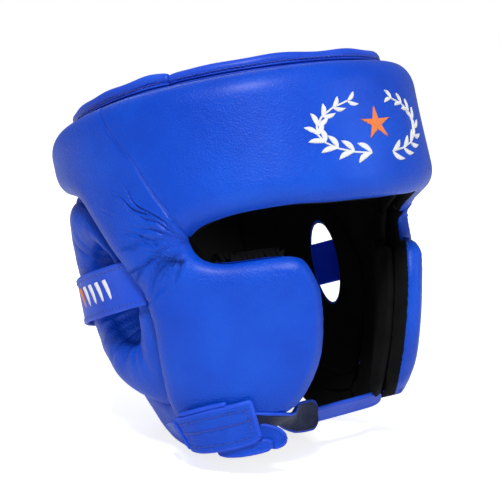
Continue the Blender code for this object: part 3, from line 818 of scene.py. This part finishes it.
def add_ear_pad(label, side):
    """A padded ring round a slanted hole: a rolled face, walls pulled in by creases, a suede inner face."""
    name, count = f"ear_{label}_ring", EAR_POINTS
    angles = np.linspace(0, 2 * np.pi, count, endpoint=False)
    outer = ear_reach(angles)
    rise = EAR_HOLE_HALF_HEIGHT * np.sin(angles)
    hole = np.stack([run_of(EAR_HOLE_HALF_TURN) * np.cos(angles) + EAR_SLANT * rise, rise], -1)
    edge = np.stack([outer * np.cos(angles), outer * np.sin(angles)], -1)
    centre = flat_at(EAR_TURN, EAR_HEIGHT)
    draw = random.Random(17)
    limits = (0, 2 * math.pi), (0.03, 0.07), (0.5, 1.5)
    tucks = [tuple(draw.uniform(*pair) for pair in limits) for _ in range(34)]
    tucks += [(-math.pi / 2 + d, 0.09, 2.4) for d in (-0.35, 0.25)] + [(math.pi / 2 + 0.1, 0.08, 1.6)]
    pulls = np.zeros(count)
    for at, width, depth in tucks:
        gap = (angles - at + math.pi) % (2 * math.pi) - math.pi
        pulls += depth * np.exp(-((gap / width) ** 2))
    rings = []
    for share in crowded(26, 1.0):
        flat = centre + hole * (1 - share) + edge * share
        roll = EAR_ROLL * (np.sqrt(np.clip(1 - (2 * share - 1) ** 2, 0, 1)) - 1)
        fade = math.exp(-((share / 0.42) ** 2))
        drift = sine_drift(flat, 23, 24, 0.5) * (4 * share * (1 - share))
        rings.append(from_flat(flat, ear_lift(flat) + roll - pulls * fade * 0.8 + drift))
    floor = INNER + 0.3
    edge_flat = centre + edge
    edge_lift = ear_lift(edge_flat) - EAR_ROLL
    hole_lift = ear_lift(centre + hole) - EAR_ROLL - pulls * 0.8
    for share in (0.3, 0.6, 0.85):
        rings.append(from_flat(edge_flat - edge * 0.04 * share, edge_lift + (floor + 3 - edge_lift) * share))
    inner_start = len(rings)
    rings.append(from_flat(edge_flat + edge * (5.0 / outer)[:, None], floor + 2.2))
    inner_hole = hole * np.array([0.50, 0.86]) + np.array([-7.5, 1.0])
    for share in (1.0, 0.94, 0.7, 0.4, 0.12, 0.03):
        flat = centre + inner_hole * (1 - share) * 1.02 + edge * share * 1.02
        sag = 2.2 * (1 - (2 * share - 1) ** 2)
        rings.append(from_flat(flat, floor - sag))
    inner_end = len(rings)
    swell = 1.0 + 0.05 * np.sin(angles * 23) + 0.03 * np.sin(angles * 41)
    for share in (0.9, 0.7, 0.45, 0.2):
        mid = hole * (1 - share) + inner_hole * share
        bulge = centre + mid * (1 - 0.06 * math.sin(math.pi * share) * swell[:, None])
        rings.append(from_flat(bulge, hole_lift + (floor - hole_lift) * share))
    points = mirrored(np.concatenate(rings), side)
    size = len(points)
    faces = [tuple(i % size for i in face) for face in grid_faces(len(rings) + 1, count, around=True)]
    black = [inner_start <= i < inner_end - 1 for i in range(len(rings)) for _ in range(count)]
    made = piece_from(name, points, faces, BLUE, "shell", ["ear_pad_" + label], (BLACK, black))
    piped = centre + edge * 0.995
    piped = np.concatenate([piped, piped[:1]])
    add_line(name + "_piping", mirrored(from_flat(piped, ear_lift(piped) - 9.0), side), 0.9, BINDING)


def jaw_patch():
    turn = np.linspace(90.5, REAR_TURN - 0.5, 120)
    return strip_patch(turn, JAW_BOTTOM(turn), EAR_BOTTOM(turn) + 1.2, 36, 90)


def jaw_crown(places, depth):
    return INNER + 1.1 + JAW_DEPTH - quarter(depth, 8.0, 4.5) + sine_drift(places, 33, 26, 0.5)


def add_jaw_pad(label, side):
    patch = jaw_patch()
    points, faces = pad_points(patch, jaw_crown, INNER + 1.0, side)
    name, replaced = f"jaw_{label}_cushion", ["jaw_pad_" + label]
    made = piece_from(name, points, faces, BLUE, "shell", replaced, (BLACK, suede_faces(patch)))


# ---------------------------------------------------------------- straps


STRAP_SHARES = np.array([-1, -0.985, -0.93, -0.84, -0.74, -0.4, 0, 0.4, 0.74, 0.84, 0.93, 0.985, 1.0])


def strap_solid(middles, acrosses, outs, half, thickness, hem=0.7, eased=0.18):
    """A flat strap, thicker at its two hems, from middles, across and outward directions and its half width, or
    one half width for each row. eased is how much of the thickness the edge loses next to its corner."""
    size = np.abs(STRAP_SHARES)
    swell = hem * np.exp(-(((size - 0.90) / 0.10) ** 2))
    edge = -0.5 * thickness * (size > 0.99) - eased * thickness * ((size > 0.95) & (size <= 0.99))
    wide = STRAP_SHARES * np.broadcast_to(half, len(middles))[:, None]
    middles, acrosses, outs = middles[:, None], acrosses[:, None], outs[:, None]
    upper = middles + acrosses * wide[..., None] + outs * (swell + edge)[:, None]
    lower = middles + acrosses * wide[:, ::-1, None] - outs * (thickness + edge[::-1])[:, None]
    rows = np.concatenate([upper, lower[:, 1:-1]], axis=1)
    return rows.reshape(-1, 3), tube_faces(*rows.shape[:2])


def outward(middles, acrosses, row, axis=0):
    """The way out of a strap's visible face, which looks down the given axis at the given row."""
    outs = unit_rows(np.cross(acrosses, np.gradient(middles, axis=0)))
    return -outs if outs[row, axis] > 0 else outs


def strap_path(turns, lift, side):
    """Middles, acrosses and outs of a strap round the head at STRAP_HEIGHT."""
    turns = np.asarray(turns, float)
    middles = on_form(turns, STRAP_HEIGHT, STRAP_LIFT(from_behind(turns)) + lift)
    outs = unit_rows(middles * np.array([1, 1, 0.0]))
    acrosses = np.broadcast_to(np.array([0, 0, 1.0]), middles.shape)
    return mirrored(middles, side), acrosses, mirrored(outs, side)


def add_strap(name, middles, acrosses, outs, body, replaced):
    points, faces = strap_solid(middles, acrosses, outs, STRAP_WIDTH / 2, STRAP_THICKNESS)
    piece_from(name, points, faces, BINDING, body, replaced)
    inset = STRAP_WIDTH / 2 - 3.0
    lines = [(middles + acrosses * edge * inset + outs * 0.12, outs) for edge in (-1, 1)]
    add_stitches(name + "_stitches", lines, body)


def add_back_strap():
    right = strap_path(np.linspace(STRAP_START, TAB_HINGE_TURN - HINGE_GAP, 60), STRAP_THICKNESS + 0.4, 1)
    add_strap("back_strap_right_leather", *right, "shell", ["back_strap_right"])
    left = strap_path(np.linspace(STRAP_START, 176, 80), STRAP_THICKNESS + 0.4, -1)
    add_strap("back_strap_left_leather", *left, "shell", ["back_strap_left"])
    turns = np.linspace(TAB_HINGE_TURN + HINGE_GAP, TAB_END_TURN, 60)
    raised = 2.4 + 5.2 * np.clip((turns - TAB_HINGE_TURN) / 22, 0, 1)
    tab = strap_path(turns, raised, 1)
    add_strap("back_strap_tab_leather", *tab, "back_tab", ["back_strap_tab"])
    for name, low, replaced, body in (
        ("back_loop_tape", 3.5, "back_loop_patch", "shell"),
        ("back_hook_tape", 4.6, "back_hook_patch", "back_tab"),
    ):
        path = strap_path(np.linspace(186, 202, 16), low, 1)
        points, faces = strap_solid(*path, (STRAP_WIDTH - 5) / 2, TAPE_THICKNESS, 0.0)
        piece_from(name, points, faces, TAPE, body, [replaced])


# ---------------------------------------------------------------- embroidery


def ribbon(line, widths, height=0.75):
    """A raised satin-stitch ribbon on the flat map: (flat places, heights)."""
    way = np.gradient(line, axis=0)
    way /= np.linalg.norm(way, axis=1, keepdims=True) + 1e-9
    normal = np.stack([-way[:, 1], way[:, 0]], -1)
    shares = np.linspace(-1, 1, 7)
    dome = np.sqrt(np.clip(1 - shares**2, 0, 1)) ** 0.8
    places = line[:, None] + normal[:, None] * shares[None, :, None] * (widths[:, None, None] / 2)
    lift = np.broadcast_to(dome * height, places.shape[:2]).copy()
    lift[:, 1:-1] += 0.10 * (np.arange(len(line)) % 2)[:, None]
    return places, lift


def add_embroidery(name, ribbons, base, material, replaced=()):
    """Several raised ribbons as one piece. base gives the leather's lift under a flat place."""
    points, faces, start = [], [], 0
    for places, lift in ribbons:
        ground = base(places.reshape(-1, 2)).reshape(lift.shape)
        for level in (ground + lift - 0.05, ground - 0.45):
            points.append(from_flat(places, level).reshape(-1, 3))
        faces += sheet_faces(*lift.shape, start)
        start += 2 * lift.size
    piece_from(name, np.concatenate(points), faces, material, "shell", replaced)


def leaf(at, angle, length, width):
    """One leaf of the wreath, a lens-shaped block of satin stitch."""
    share = np.linspace(0, 1, 26)
    bend = 0.12 * length * np.sin(np.pi * share)
    way, normal = np.array([math.cos(angle), math.sin(angle)]), np.array([-math.sin(angle), math.cos(angle)])
    line = np.array(at) + share[:, None] * length * way + bend[:, None] * normal
    widths = width * np.sin(np.pi * np.clip(share, 0.02, 0.98)) ** 0.75
    return ribbon(line, widths)


def add_emblem():
    """A plain wreath of leaves with a five-pointed star, sewn on the forehead."""
    base = lambda places: forehead_crown(places, np.full(len(places), 30.0))
    centre = np.array([0.0, 183.0])
    wide, tall = 34, 16.5
    leaves, stems = [], []
    for side in (1, -1):
        arc = []
        for k in range(9):
            share = k / 8
            around = math.radians(-78 + 142 * share)
            at = centre + np.array([side * wide * math.cos(around), tall * math.sin(around)])
            tangent = math.atan2(tall * math.cos(around), -side * wide * math.sin(around))
            arc.append(at)
            size = 9.6 - 3.2 * share
            for lean in (0.62, -0.62):
                leaves.append(leaf(at, tangent + side * lean, size, 3.3 - 0.9 * share))
        line = resample(arc, 120)
        stems.append(ribbon(line, np.full(len(line), 1.1), 0.5))
    add_embroidery("emblem_wreath", leaves + stems, base, WHITE, replaced=["forehead_emblem"])
    points = []
    for k in range(5):
        angle = math.pi / 2 + 2 * math.pi * k / 5
        share = np.linspace(0, 1, 22)
        way = np.array([math.cos(angle), math.sin(angle)])
        line = centre + np.array([0, 0.5]) + (share[:, None] * 9.8) * way
        points.append(ribbon(line, 5.6 * (1 - share) + 0.25, 0.8))
    add_embroidery("emblem_star", points, base, ORANGE)


def add_badge():
    """Sewn bars on the back strap near the ear: four white and one orange, slanted."""
    base = lambda places: STRAP_LIFT(turn_of(places)) + 2.45
    bars, accent = [], []
    for k, turn in enumerate(np.linspace(103, 121, 5)):
        share = np.linspace(0, 1, 30)
        line = np.stack([run_of(turn) + 3.2 * (share - 0.5), STRAP_HEIGHT - 6.5 + 13 * share], -1)
        (accent if k == 4 else bars).append(ribbon(line, np.full(30, 3.0), 0.55))
    add_embroidery("strap_badge_bars", bars, base, WHITE, replaced=["strap_badge"])
    add_embroidery("strap_badge_accent", accent, base, ORANGE)


# ---------------------------------------------------------------- crown


def collar_line(turns, lift, height):
    points = on_form(turns, BAND_TOP, lift - PAD_DEPTH - 2.0)
    points[:, 2] += band_top(turns) - BAND_TOP + height
    return points


def add_collar(name, first, last, count, height, replaced, seed):
    """A rolled collar: two thin folds at its foot and a full roll along its top, all one piece of leather."""
    turns = np.linspace(first, last, count)
    share = np.linspace(0, 1, count)
    ends = 0.72 + 0.28 * np.clip(np.minimum(share, 1 - share) / 0.035, 0, 1) ** 0.5
    draw = random.Random(seed)
    wave = sum(
        draw.uniform(0.1, 0.3) * np.sin(turns * draw.uniform(0.05, 0.3) + draw.uniform(0, 6)) for _ in range(5)
    )
    profile = []
    for low, high, bulge in ((-1.5, 0.9, 2.0), (0.9, 2.7, 2.6), (2.7, 4.4, 2.9)):
        for angle in np.linspace(-1.2, 1.2, 6):
            above = (low + high) / 2 + (high - low) / 2 * math.sin(angle)
            profile.append((bulge * math.cos(angle) + 0.4, above))
    top = height - 3.6
    for angle in np.linspace(-1.15, math.pi + 1.15, 16):
        profile.append((3.1 * math.cos(angle), top + 3.5 * math.sin(angle)))
    profile += [(-2.4, 3.0), (-2.4, 0.0), (-2.2, -1.5)]
    columns = [
        collar_line(turns, lift * (0.35 + 0.65 * ends), above * (0.5 + 0.5 * ends) + wave * (above > 4))
        for lift, above in profile
    ]
    faces = tube_faces(count, len(profile))
    made = piece_from(name, np.stack(columns, axis=1), faces, BINDING, "shell", replaced)
    line = collar_line(turns, 2.95, 4.9)
    outs = line * np.array([1, 1, 0])
    add_stitches(name + "_stitches", [(line[3:-3], outs[3:-3])])


def crown_height(x, y):
    away = np.clip(np.hypot(x / 86, y / 98), 0, 1)
    return BAND_TOP + 3.0 + 6.0 * (1 - away**2)


CROWN_REACH = 93.0
FLAP_HALF_WIDTH = 41.6
FLAP_INSET = 5.0
FLAP_DEPTH = 3.6


def crown_end(x):
    return CROWN_REACH * np.sqrt(1 - (x / 81.0) ** 2)


def add_flap(name, near, far, raise_by, body, replaced):
    """A crown flap: a padded leather plate with rounded edges and a row of stitches round it. near and far are
    its ends, or None where it runs into the collar."""
    rows, columns = 70, 46
    xs = np.linspace(-1, 1, columns)
    x = xs * FLAP_HALF_WIDTH
    corner = 10.0 * np.clip((np.abs(xs) - 0.72) / 0.28, 0, 1) ** 2
    start = -crown_end(x) if near is None else near + corner
    stop = crown_end(x) if far is None else far - corner
    raised = lambda y: raise_by * np.clip((CROWN_REACH - y) / 30, 0, 1)
    y = start + np.linspace(0, 1, rows)[:, None] * (stop - start)
    x = np.broadcast_to(x, y.shape)
    grid = np.stack([x, y, crown_height(x, y) + raised(y)], -1)
    flat = grid[..., :2].reshape(-1, 2)
    rim = rim_of(rows, columns)
    depth = gap_to(flat, resample(flat[rim + rim[:1]], 700)).reshape(rows, columns)
    groove = 0.7 * np.exp(-(((depth - FLAP_INSET) / 0.9) ** 2))
    upper, lower = grid.copy(), grid.copy()
    upper[..., 2] += -quarter(depth, 4.0, 1.3) - groove + 0.35 * np.clip((depth - 6) / 8, 0, 1)
    lower[..., 2] -= FLAP_DEPTH - quarter(depth, 3.0, 1.2)
    faces = sheet_faces(rows, columns)
    under = (rows - 1) * (columns - 1)
    black = [under <= i < 2 * under for i in range(len(faces))]
    points = np.concatenate([upper.reshape(-1, 3), lower.reshape(-1, 3)])
    made = piece_from(name, points, faces, BLUE, body, replaced, (BLACK, black))
    grid = grid.reshape(-1, 3)
    ring = grid[rim + rim[:1]]
    inset = ring + unit_rows(grid.mean(0) - ring) * FLAP_INSET
    inset[:, 2] = crown_height(inset[:, 0], inset[:, 1]) + raised(inset[:, 1]) - 0.75
    add_stitches(name + "_stitches", [(inset, (0, 0, 1.0))], body)


def add_crown():
    add_flap("crown_flap_front_leather", None, 26.0, 0.0, "shell", ["crown_flap_front"])
    add_flap("crown_flap_rear_leather", -26.0, None, 6.6, "crown_rear", ["crown_flap_rear"])
    for name, low, replaced, body in (
        ("crown_loop_tape", 1.1, "crown_loop_patch", "shell"),
        ("crown_hook_tape", 2.3, "crown_hook_patch", "crown_rear"),
    ):
        ys = np.linspace(-20, 20, 24)
        middles = np.stack([np.zeros(24), ys, crown_height(0, ys) + low], -1)
        acrosses = np.broadcast_to(np.array([1.0, 0, 0]), middles.shape)
        outs = np.broadcast_to(np.array([0, 0, 1.0]), middles.shape)
        points, faces = strap_solid(middles, acrosses, outs, 30.0, TAPE_THICKNESS, 0.0)
        points[:, 2] += crown_height(points[:, 0], points[:, 1]) - crown_height(0, points[:, 1])
        piece_from(name, points, faces, TAPE, body, [replaced])


# ---------------------------------------------------------------- chin strap


def smooth_run(stations, count):
    """Rows spread evenly along a smooth run of (middle, across) stations."""
    stations = np.array(stations, float)
    lengths = np.concatenate([[0], np.cumsum(np.linalg.norm(np.diff(stations[:, 0], axis=0), axis=1))])
    at = np.linspace(0, lengths[-1], count)
    return [np.stack([Curve(list(zip(lengths, stations[:, i, k])))(at) for k in range(3)], -1) for i in (0, 1)]


def rounded_end(count, tip, trim):
    """Shares of the full width, row by row, that round off a strap's last stretch."""
    past = np.clip(np.linspace(0, 1, count) - 1 + tip, 0, 1) / tip
    return np.sqrt(np.clip(1 - past**2 * trim, 0, 1))[:, None]


def add_band(name, middles, acrosses, outs, body, material, slot, replaced, thickness, hem):
    """A strap whose width is twice the length of each row's across direction."""
    half = np.linalg.norm(acrosses, axis=1)
    points, faces = strap_solid(middles, unit_rows(acrosses), outs, half, thickness, hem, 0.0)
    piece_from(name, points, faces, material, body, replaced)


PANEL_EDGES = [
    (104, 41.5, 36, -5.5), (98, 42, 35.5, -3.0), (93.5, 42, 32.5, 1.0), (90.5, 42, 27.5, 3.4),
    (87.5, 42.3, 23.7, 4.4), (84, 42.6, 22.3, 5.0), (80, 42.8, 21.5, 5.2),
    (70, 43.2, 20.5, 5.2), (62, 43.6, 21.5, 5.0), (57, 44, 23.5, 4.6),
]
LEFT_PANEL_EDGES = [
    (104, 41.5, 36, -5.5), (98, 43, 35, -2.0), (92, 44.5, 32, 1.5), (90, 45, 32, 2.2),
    (88, 45, 32, 2.3), (85, 45, 32, 2.3), (81, 45, 32.5, 2.2),
]
LOWER_FLAP_EDGES = [
    (77, 24, 18.5, 2.2), (73, 23, 16.5, 2.8), (67, 22, 15.4, 3.2), (61, 21.5, 15.2, 3.0), (56, 21, 15.6, 2.4),
    (53, 20.5, 17.0, 1.4),
]
FRONT_FLAP = [
    ((-65, -37, 25.5), (0.5, -1.0, 6.0)),
    ((-60, -41, 23.5), (0.5, -1.0, 5.8)),
    ((-56, -45, 21.2), (0.5, -1.5, 5.2)),
    ((-52.5, -48.5, 19.2), (0.5, -1.5, 4.2)),
]


def panel_rows(edges):
    """(middle, across) stations of a panel on the jaw, from the (turn, top, bottom, lift) of its rows."""
    pairs = [(on_form(turn, high, own), on_form(turn, low, own)) for turn, high, low, own in edges]
    return [((high + low) / 2, (high - low) / 2) for high, low in pairs]


def add_chin_flaps(body):
    """Two bound ends of leather under the right panel: one folded below it and one that points forwards."""
    for name, stations, tip in (("lower", panel_rows(LOWER_FLAP_EDGES), 0.12), ("front", FRONT_FLAP, 0.35)):
        run, spread = smooth_run(stations, 40)
        facing = outward(run, spread, 20)
        spread = spread * rounded_end(40, tip, 0.92)
        add_band(f"chin_flap_{name}", run, spread, facing, body, BLUE, "leather_blue", (), 1.8, 0.3)
        edge = np.concatenate([run + spread, (run - spread)[::-1]])
        edge = edge - np.concatenate([facing, facing[::-1]]) * 0.7
        add_line(f"chin_flap_{name}_binding", edge, 1.15, BINDING, body)


def add_chin_strap(label, side, tail, body, tape, edges, tail_material, slot):
    """The bound panel, with its seam and stitches, and the tail that turns under the chin."""
    name = "chin_strap_" + label
    middles, acrosses = smooth_run(panel_rows(edges), 70)
    outs = outward(middles, acrosses, 40)
    ripple = 0.35 * np.sin(np.linspace(0, 15, 70))[:, None]
    middles, acrosses, outs = (mirrored(block, side) for block in (middles + outs * ripple, acrosses, outs))
    add_band(name + "_leather", middles, acrosses, outs, body, BLUE, "leather_blue", [name], 2.0, 0.45)
    unit = unit_rows(acrosses)
    start = 24 if side == 1 else 20
    top, foot = middles + acrosses - outs, middles - acrosses - outs
    front = np.linspace(top[-1], foot[-1], 24)
    loop = np.concatenate([top[start:], front[1:], foot[::-1][1:-start]])
    add_line(name + "_binding", loop, 1.5, BINDING, body, sides=10)
    back_edge = np.linspace(top[start], foot[start], 16) + outs[start] * 1.2
    add_line(name + "_binding_back", back_edge, 0.9, BINDING, body)
    tab = middles + unit * (np.linalg.norm(acrosses, axis=1, keepdims=True) + 2.6) - outs * 0.6
    add_line(name + "_binding_tab", tab[start + 6 : start + 34], 1.3, BINDING, body)
    seam = middles + unit * 1.2 + outs * 0.12
    add_line(name + "_seam", seam[start + 2 :], 0.42, STITCH, body, sides=6)
    lines = []
    for edge in (-1, 1):
        inset = middles + acrosses * edge - unit * edge * 3.4 + outs * 0.2
        lines.append((inset[start + 3 : -3], outs[start + 3 : -3]))
    ways = middles[-1] - middles[-4]
    ways = ways / np.linalg.norm(ways)
    down = np.linspace(top[-1], foot[-1], 30)[4:-4] - ways * 3.4 + outs[-1] * 1.2
    lines.append((down, outs[-1]))
    add_stitches(name + "_stitches", lines, body, pitch=2.9, length=1.9, radius=0.30)

    run, spread = smooth_run(tail, 90)
    run, spread, facing = (mirrored(block, side) for block in (run, spread, outward(run, spread, 8, axis=2)))
    rounded = rounded_end(90, 0.07, 0.9)
    # On the right, tail_material is the dark navy hook-and-loop TAPE over the tail's whole downward face. That
    # navy is painted shade for the underside, which lies in shade under the chin.
    add_band(name + "_tail", run, spread * rounded, facing, body, tail_material, slot, (), 1.9, 0.35)
    for edge, tag in ((-1, "lower"), (1, "upper")):
        line = run + spread * rounded * edge - facing
        add_line(f"{name}_tail_binding_{tag}", line, 1.15, BINDING, body)
    inner = slice(30, 86)
    face = [block[inner] for block in (run - facing * 1.95, spread * 0.86, facing)]
    add_band(name + "_tail_face", *face, body, TAPE, "hook_loop_navy", [tape], 0.5, 0.0)


RIGHT_TAIL = [
    ((-73, -33, 31), (0.5, -1.0, 8.0)),
    ((-63, -40, 30), (0.0, -3.0, 6.0)),
    ((-52, -42, 29.5), (0.0, -6.5, 3.5)),
    ((-42, -40, 29.5), (0.0, -7.5, 2.0)),
    ((-34, -37, 29), (0.0, -6.0, 5.0)),
    ((-27, -35, 29), (0.0, -3.0, 7.5)),
    ((-19, -34, 29), (0.0, -2.0, 8.0)),
    ((-10, -34, 29), (0.0, -2.0, 8.0)),
]
LEFT_TAIL = [
    ((-80, 4, 36), (0.0, -1.5, 6.0)),
    ((-74, -7, 33), (0.0, -4.0, 5.0)),
    ((-62, -15, 30), (0.0, -6.0, 4.2)),
    ((-48, -20, 29), (0.0, -7.2, 3.8)),
    ((-34, -23, 28.5), (0.0, -7.4, 3.6)),
    ((-14, -24, 28), (0.0, -7.0, 3.6)),
    ((6, -24, 27.5), (0.0, -7.0, 3.6)),
    ((24, -24, 27.5), (0.0, -7.0, 3.6)),
]


def add_jaw_tab(label, side):
    turns = np.linspace(87, 66 if side == 1 else 81, 40)
    upper, lower = on_form(turns, 41, 2.4), on_form(turns, 25 if side == 1 else 34, 2.4)
    middles, acrosses = (upper + lower) / 2, unit_rows(upper - lower)
    half = np.linalg.norm(upper - lower, axis=1).mean() / 2
    placed = [mirrored(block, side) for block in (middles, acrosses, outward(middles, acrosses, 5))]
    points, faces = strap_solid(*placed, half, 1.4, 0.3)
    piece_from(f"jaw_tab_{label}_leather", points, faces, BLUE, "shell", ["jaw_tab_" + label])


# ---------------------------------------------------------------- assembly

forehead = forehead_patch()
add_pad("forehead_pad", forehead, forehead_crown, 1, ["forehead_cover", "forehead_foam"])
add_lining("forehead_suede", forehead, 1, ["forehead_lining"])
sides = side_patch()
nape = nape_patch()
rear = rear_patch()
for side, label in SIDES:
    add_pad(f"cheek_{label}_pad", sides, side_crown, side, [f"cheek_{label}_cover", f"cheek_{label}_foam"])
    add_lining(f"cheek_{label}_suede", sides, side, [f"cheek_{label}_lining"])
    add_ear_pad(label, side)
    add_jaw_pad(label, side)
    add_jaw_tab(label, side)
    cord = resample(seam_line, 140)
    cord = mirrored(from_flat(cord, seam_lift(cord)), side)
    add_line(f"seam_{label}_cord", cord, 0.5, BLUE, replaced=["seam_piping_" + label])
add_pad("nape_pad", nape, nape_crown, 1, ["nape_cover", "nape_foam"])
add_lining("nape_suede", nape, 1, ["nape_lining"])
add_pad("rear_band_pad", rear, rear_crown, 1, ["rear_band_cover", "rear_band_foam"])
add_lining("rear_band_suede", rear, 1, ["rear_band_lining"])
add_collar("crown_collar_rear_leather", 61.05, 298.95, 240, 11.2, ["crown_collar_rear"], 2)
add_collar("crown_collar_front_leather", -61.0, 61.0, 130, 10.0, ["crown_collar_front"], 6)
add_crown()
add_back_strap()
add_badge()
add_emblem()
# The right tail's navy tape colour on its underside is painted shade; the left tail is blue leather.
add_chin_strap("right", 1, RIGHT_TAIL, "chin_right", "chin_hook_patch", PANEL_EDGES, TAPE, "hook_loop_navy")
add_chin_strap("left", -1, LEFT_TAIL, "chin_left", "chin_loop_patch", LEFT_PANEL_EDGES, BINDING, "leather_blue")
add_chin_flaps("chin_right")


# ---------------------------------------------------------------- floor, light and camera


FLOOR_HEIGHT = -0.0028


def add_floor():
    made, nodes, links, shader = new_material("floor_paper", (0.93, 0.93, 0.93), 0.9, 0.1)
    shader.inputs["Emission Color"].default_value = (1, 1, 1, 1)
    seen = nodes.new("ShaderNodeLightPath").outputs["Is Camera Ray"]
    links.new(to_range(nodes, links, seen, 0.12, 0.72), shader.inputs["Emission Strength"])
    mesh = bpy.data.meshes.new("floor")
    corners = [(6.0 * x, 6.0 * y, FLOOR_HEIGHT) for x, y in ((-1, -1), (1, -1), (1, 1), (-1, 1))]
    mesh.from_pydata(corners, [], [(0, 1, 2, 3)])
    mesh.materials.append(made)
    floor = bpy.data.objects.new("floor", mesh)
    bpy.context.scene.collection.objects.link(floor)


def add_light(name, place, size, power, target=(0.0, 0.0, 0.12)):
    data = bpy.data.lights.new(name, "AREA")
    data.shape = "DISK"
    data.size = size
    data.energy = power
    made = bpy.data.objects.new(name, data)
    made.location = place
    made.rotation_euler = (Vector(target) - Vector(place)).to_track_quat("-Z", "Y").to_euler()
    bpy.context.scene.collection.objects.link(made)


add_floor()
world = bpy.data.worlds.new("studio")
world.use_nodes = True
sky = world.node_tree.nodes["Background"]
sky.inputs["Color"].default_value = (1, 1, 1, 1)
sky.inputs["Strength"].default_value = 0.30
backdrop = world.node_tree.nodes.new("ShaderNodeBackground")
backdrop.inputs["Color"].default_value = (1, 1, 1, 1)
backdrop.inputs["Strength"].default_value = 1.0
seen = world.node_tree.nodes.new("ShaderNodeLightPath")
either = world.node_tree.nodes.new("ShaderNodeMixShader")
world.node_tree.links.new(seen.outputs["Is Camera Ray"], either.inputs["Fac"])
world.node_tree.links.new(sky.outputs["Background"], either.inputs[1])
world.node_tree.links.new(backdrop.outputs["Background"], either.inputs[2])
world.node_tree.links.new(either.outputs["Shader"], world.node_tree.nodes["World Output"].inputs["Surface"])
bpy.context.scene.world = world
bpy.context.scene.view_settings.view_transform = "Standard"
add_light("key", (-0.80, -0.70, 1.35), 0.40, 22.0)
add_light("fill", (0.7, -1.4, 0.7), 1.0, 6.0)
add_light("rim", (0.6, 1.2, 1.1), 0.9, 3.5)

camera_data = bpy.data.cameras.new("camera")
camera_data.lens = 122.9
camera_data.sensor_width = 36.0
camera_data.clip_start = 0.05
camera_data.clip_end = 50.0
camera = bpy.data.objects.new("camera", camera_data)
camera.location = (-0.70052, -0.77984, 0.28281)
camera.rotation_euler = Euler([math.radians(angle) for angle in (80.72, -0.75, -42.13)])
bpy.context.scene.collection.objects.link(camera)
bpy.context.scene.camera = camera
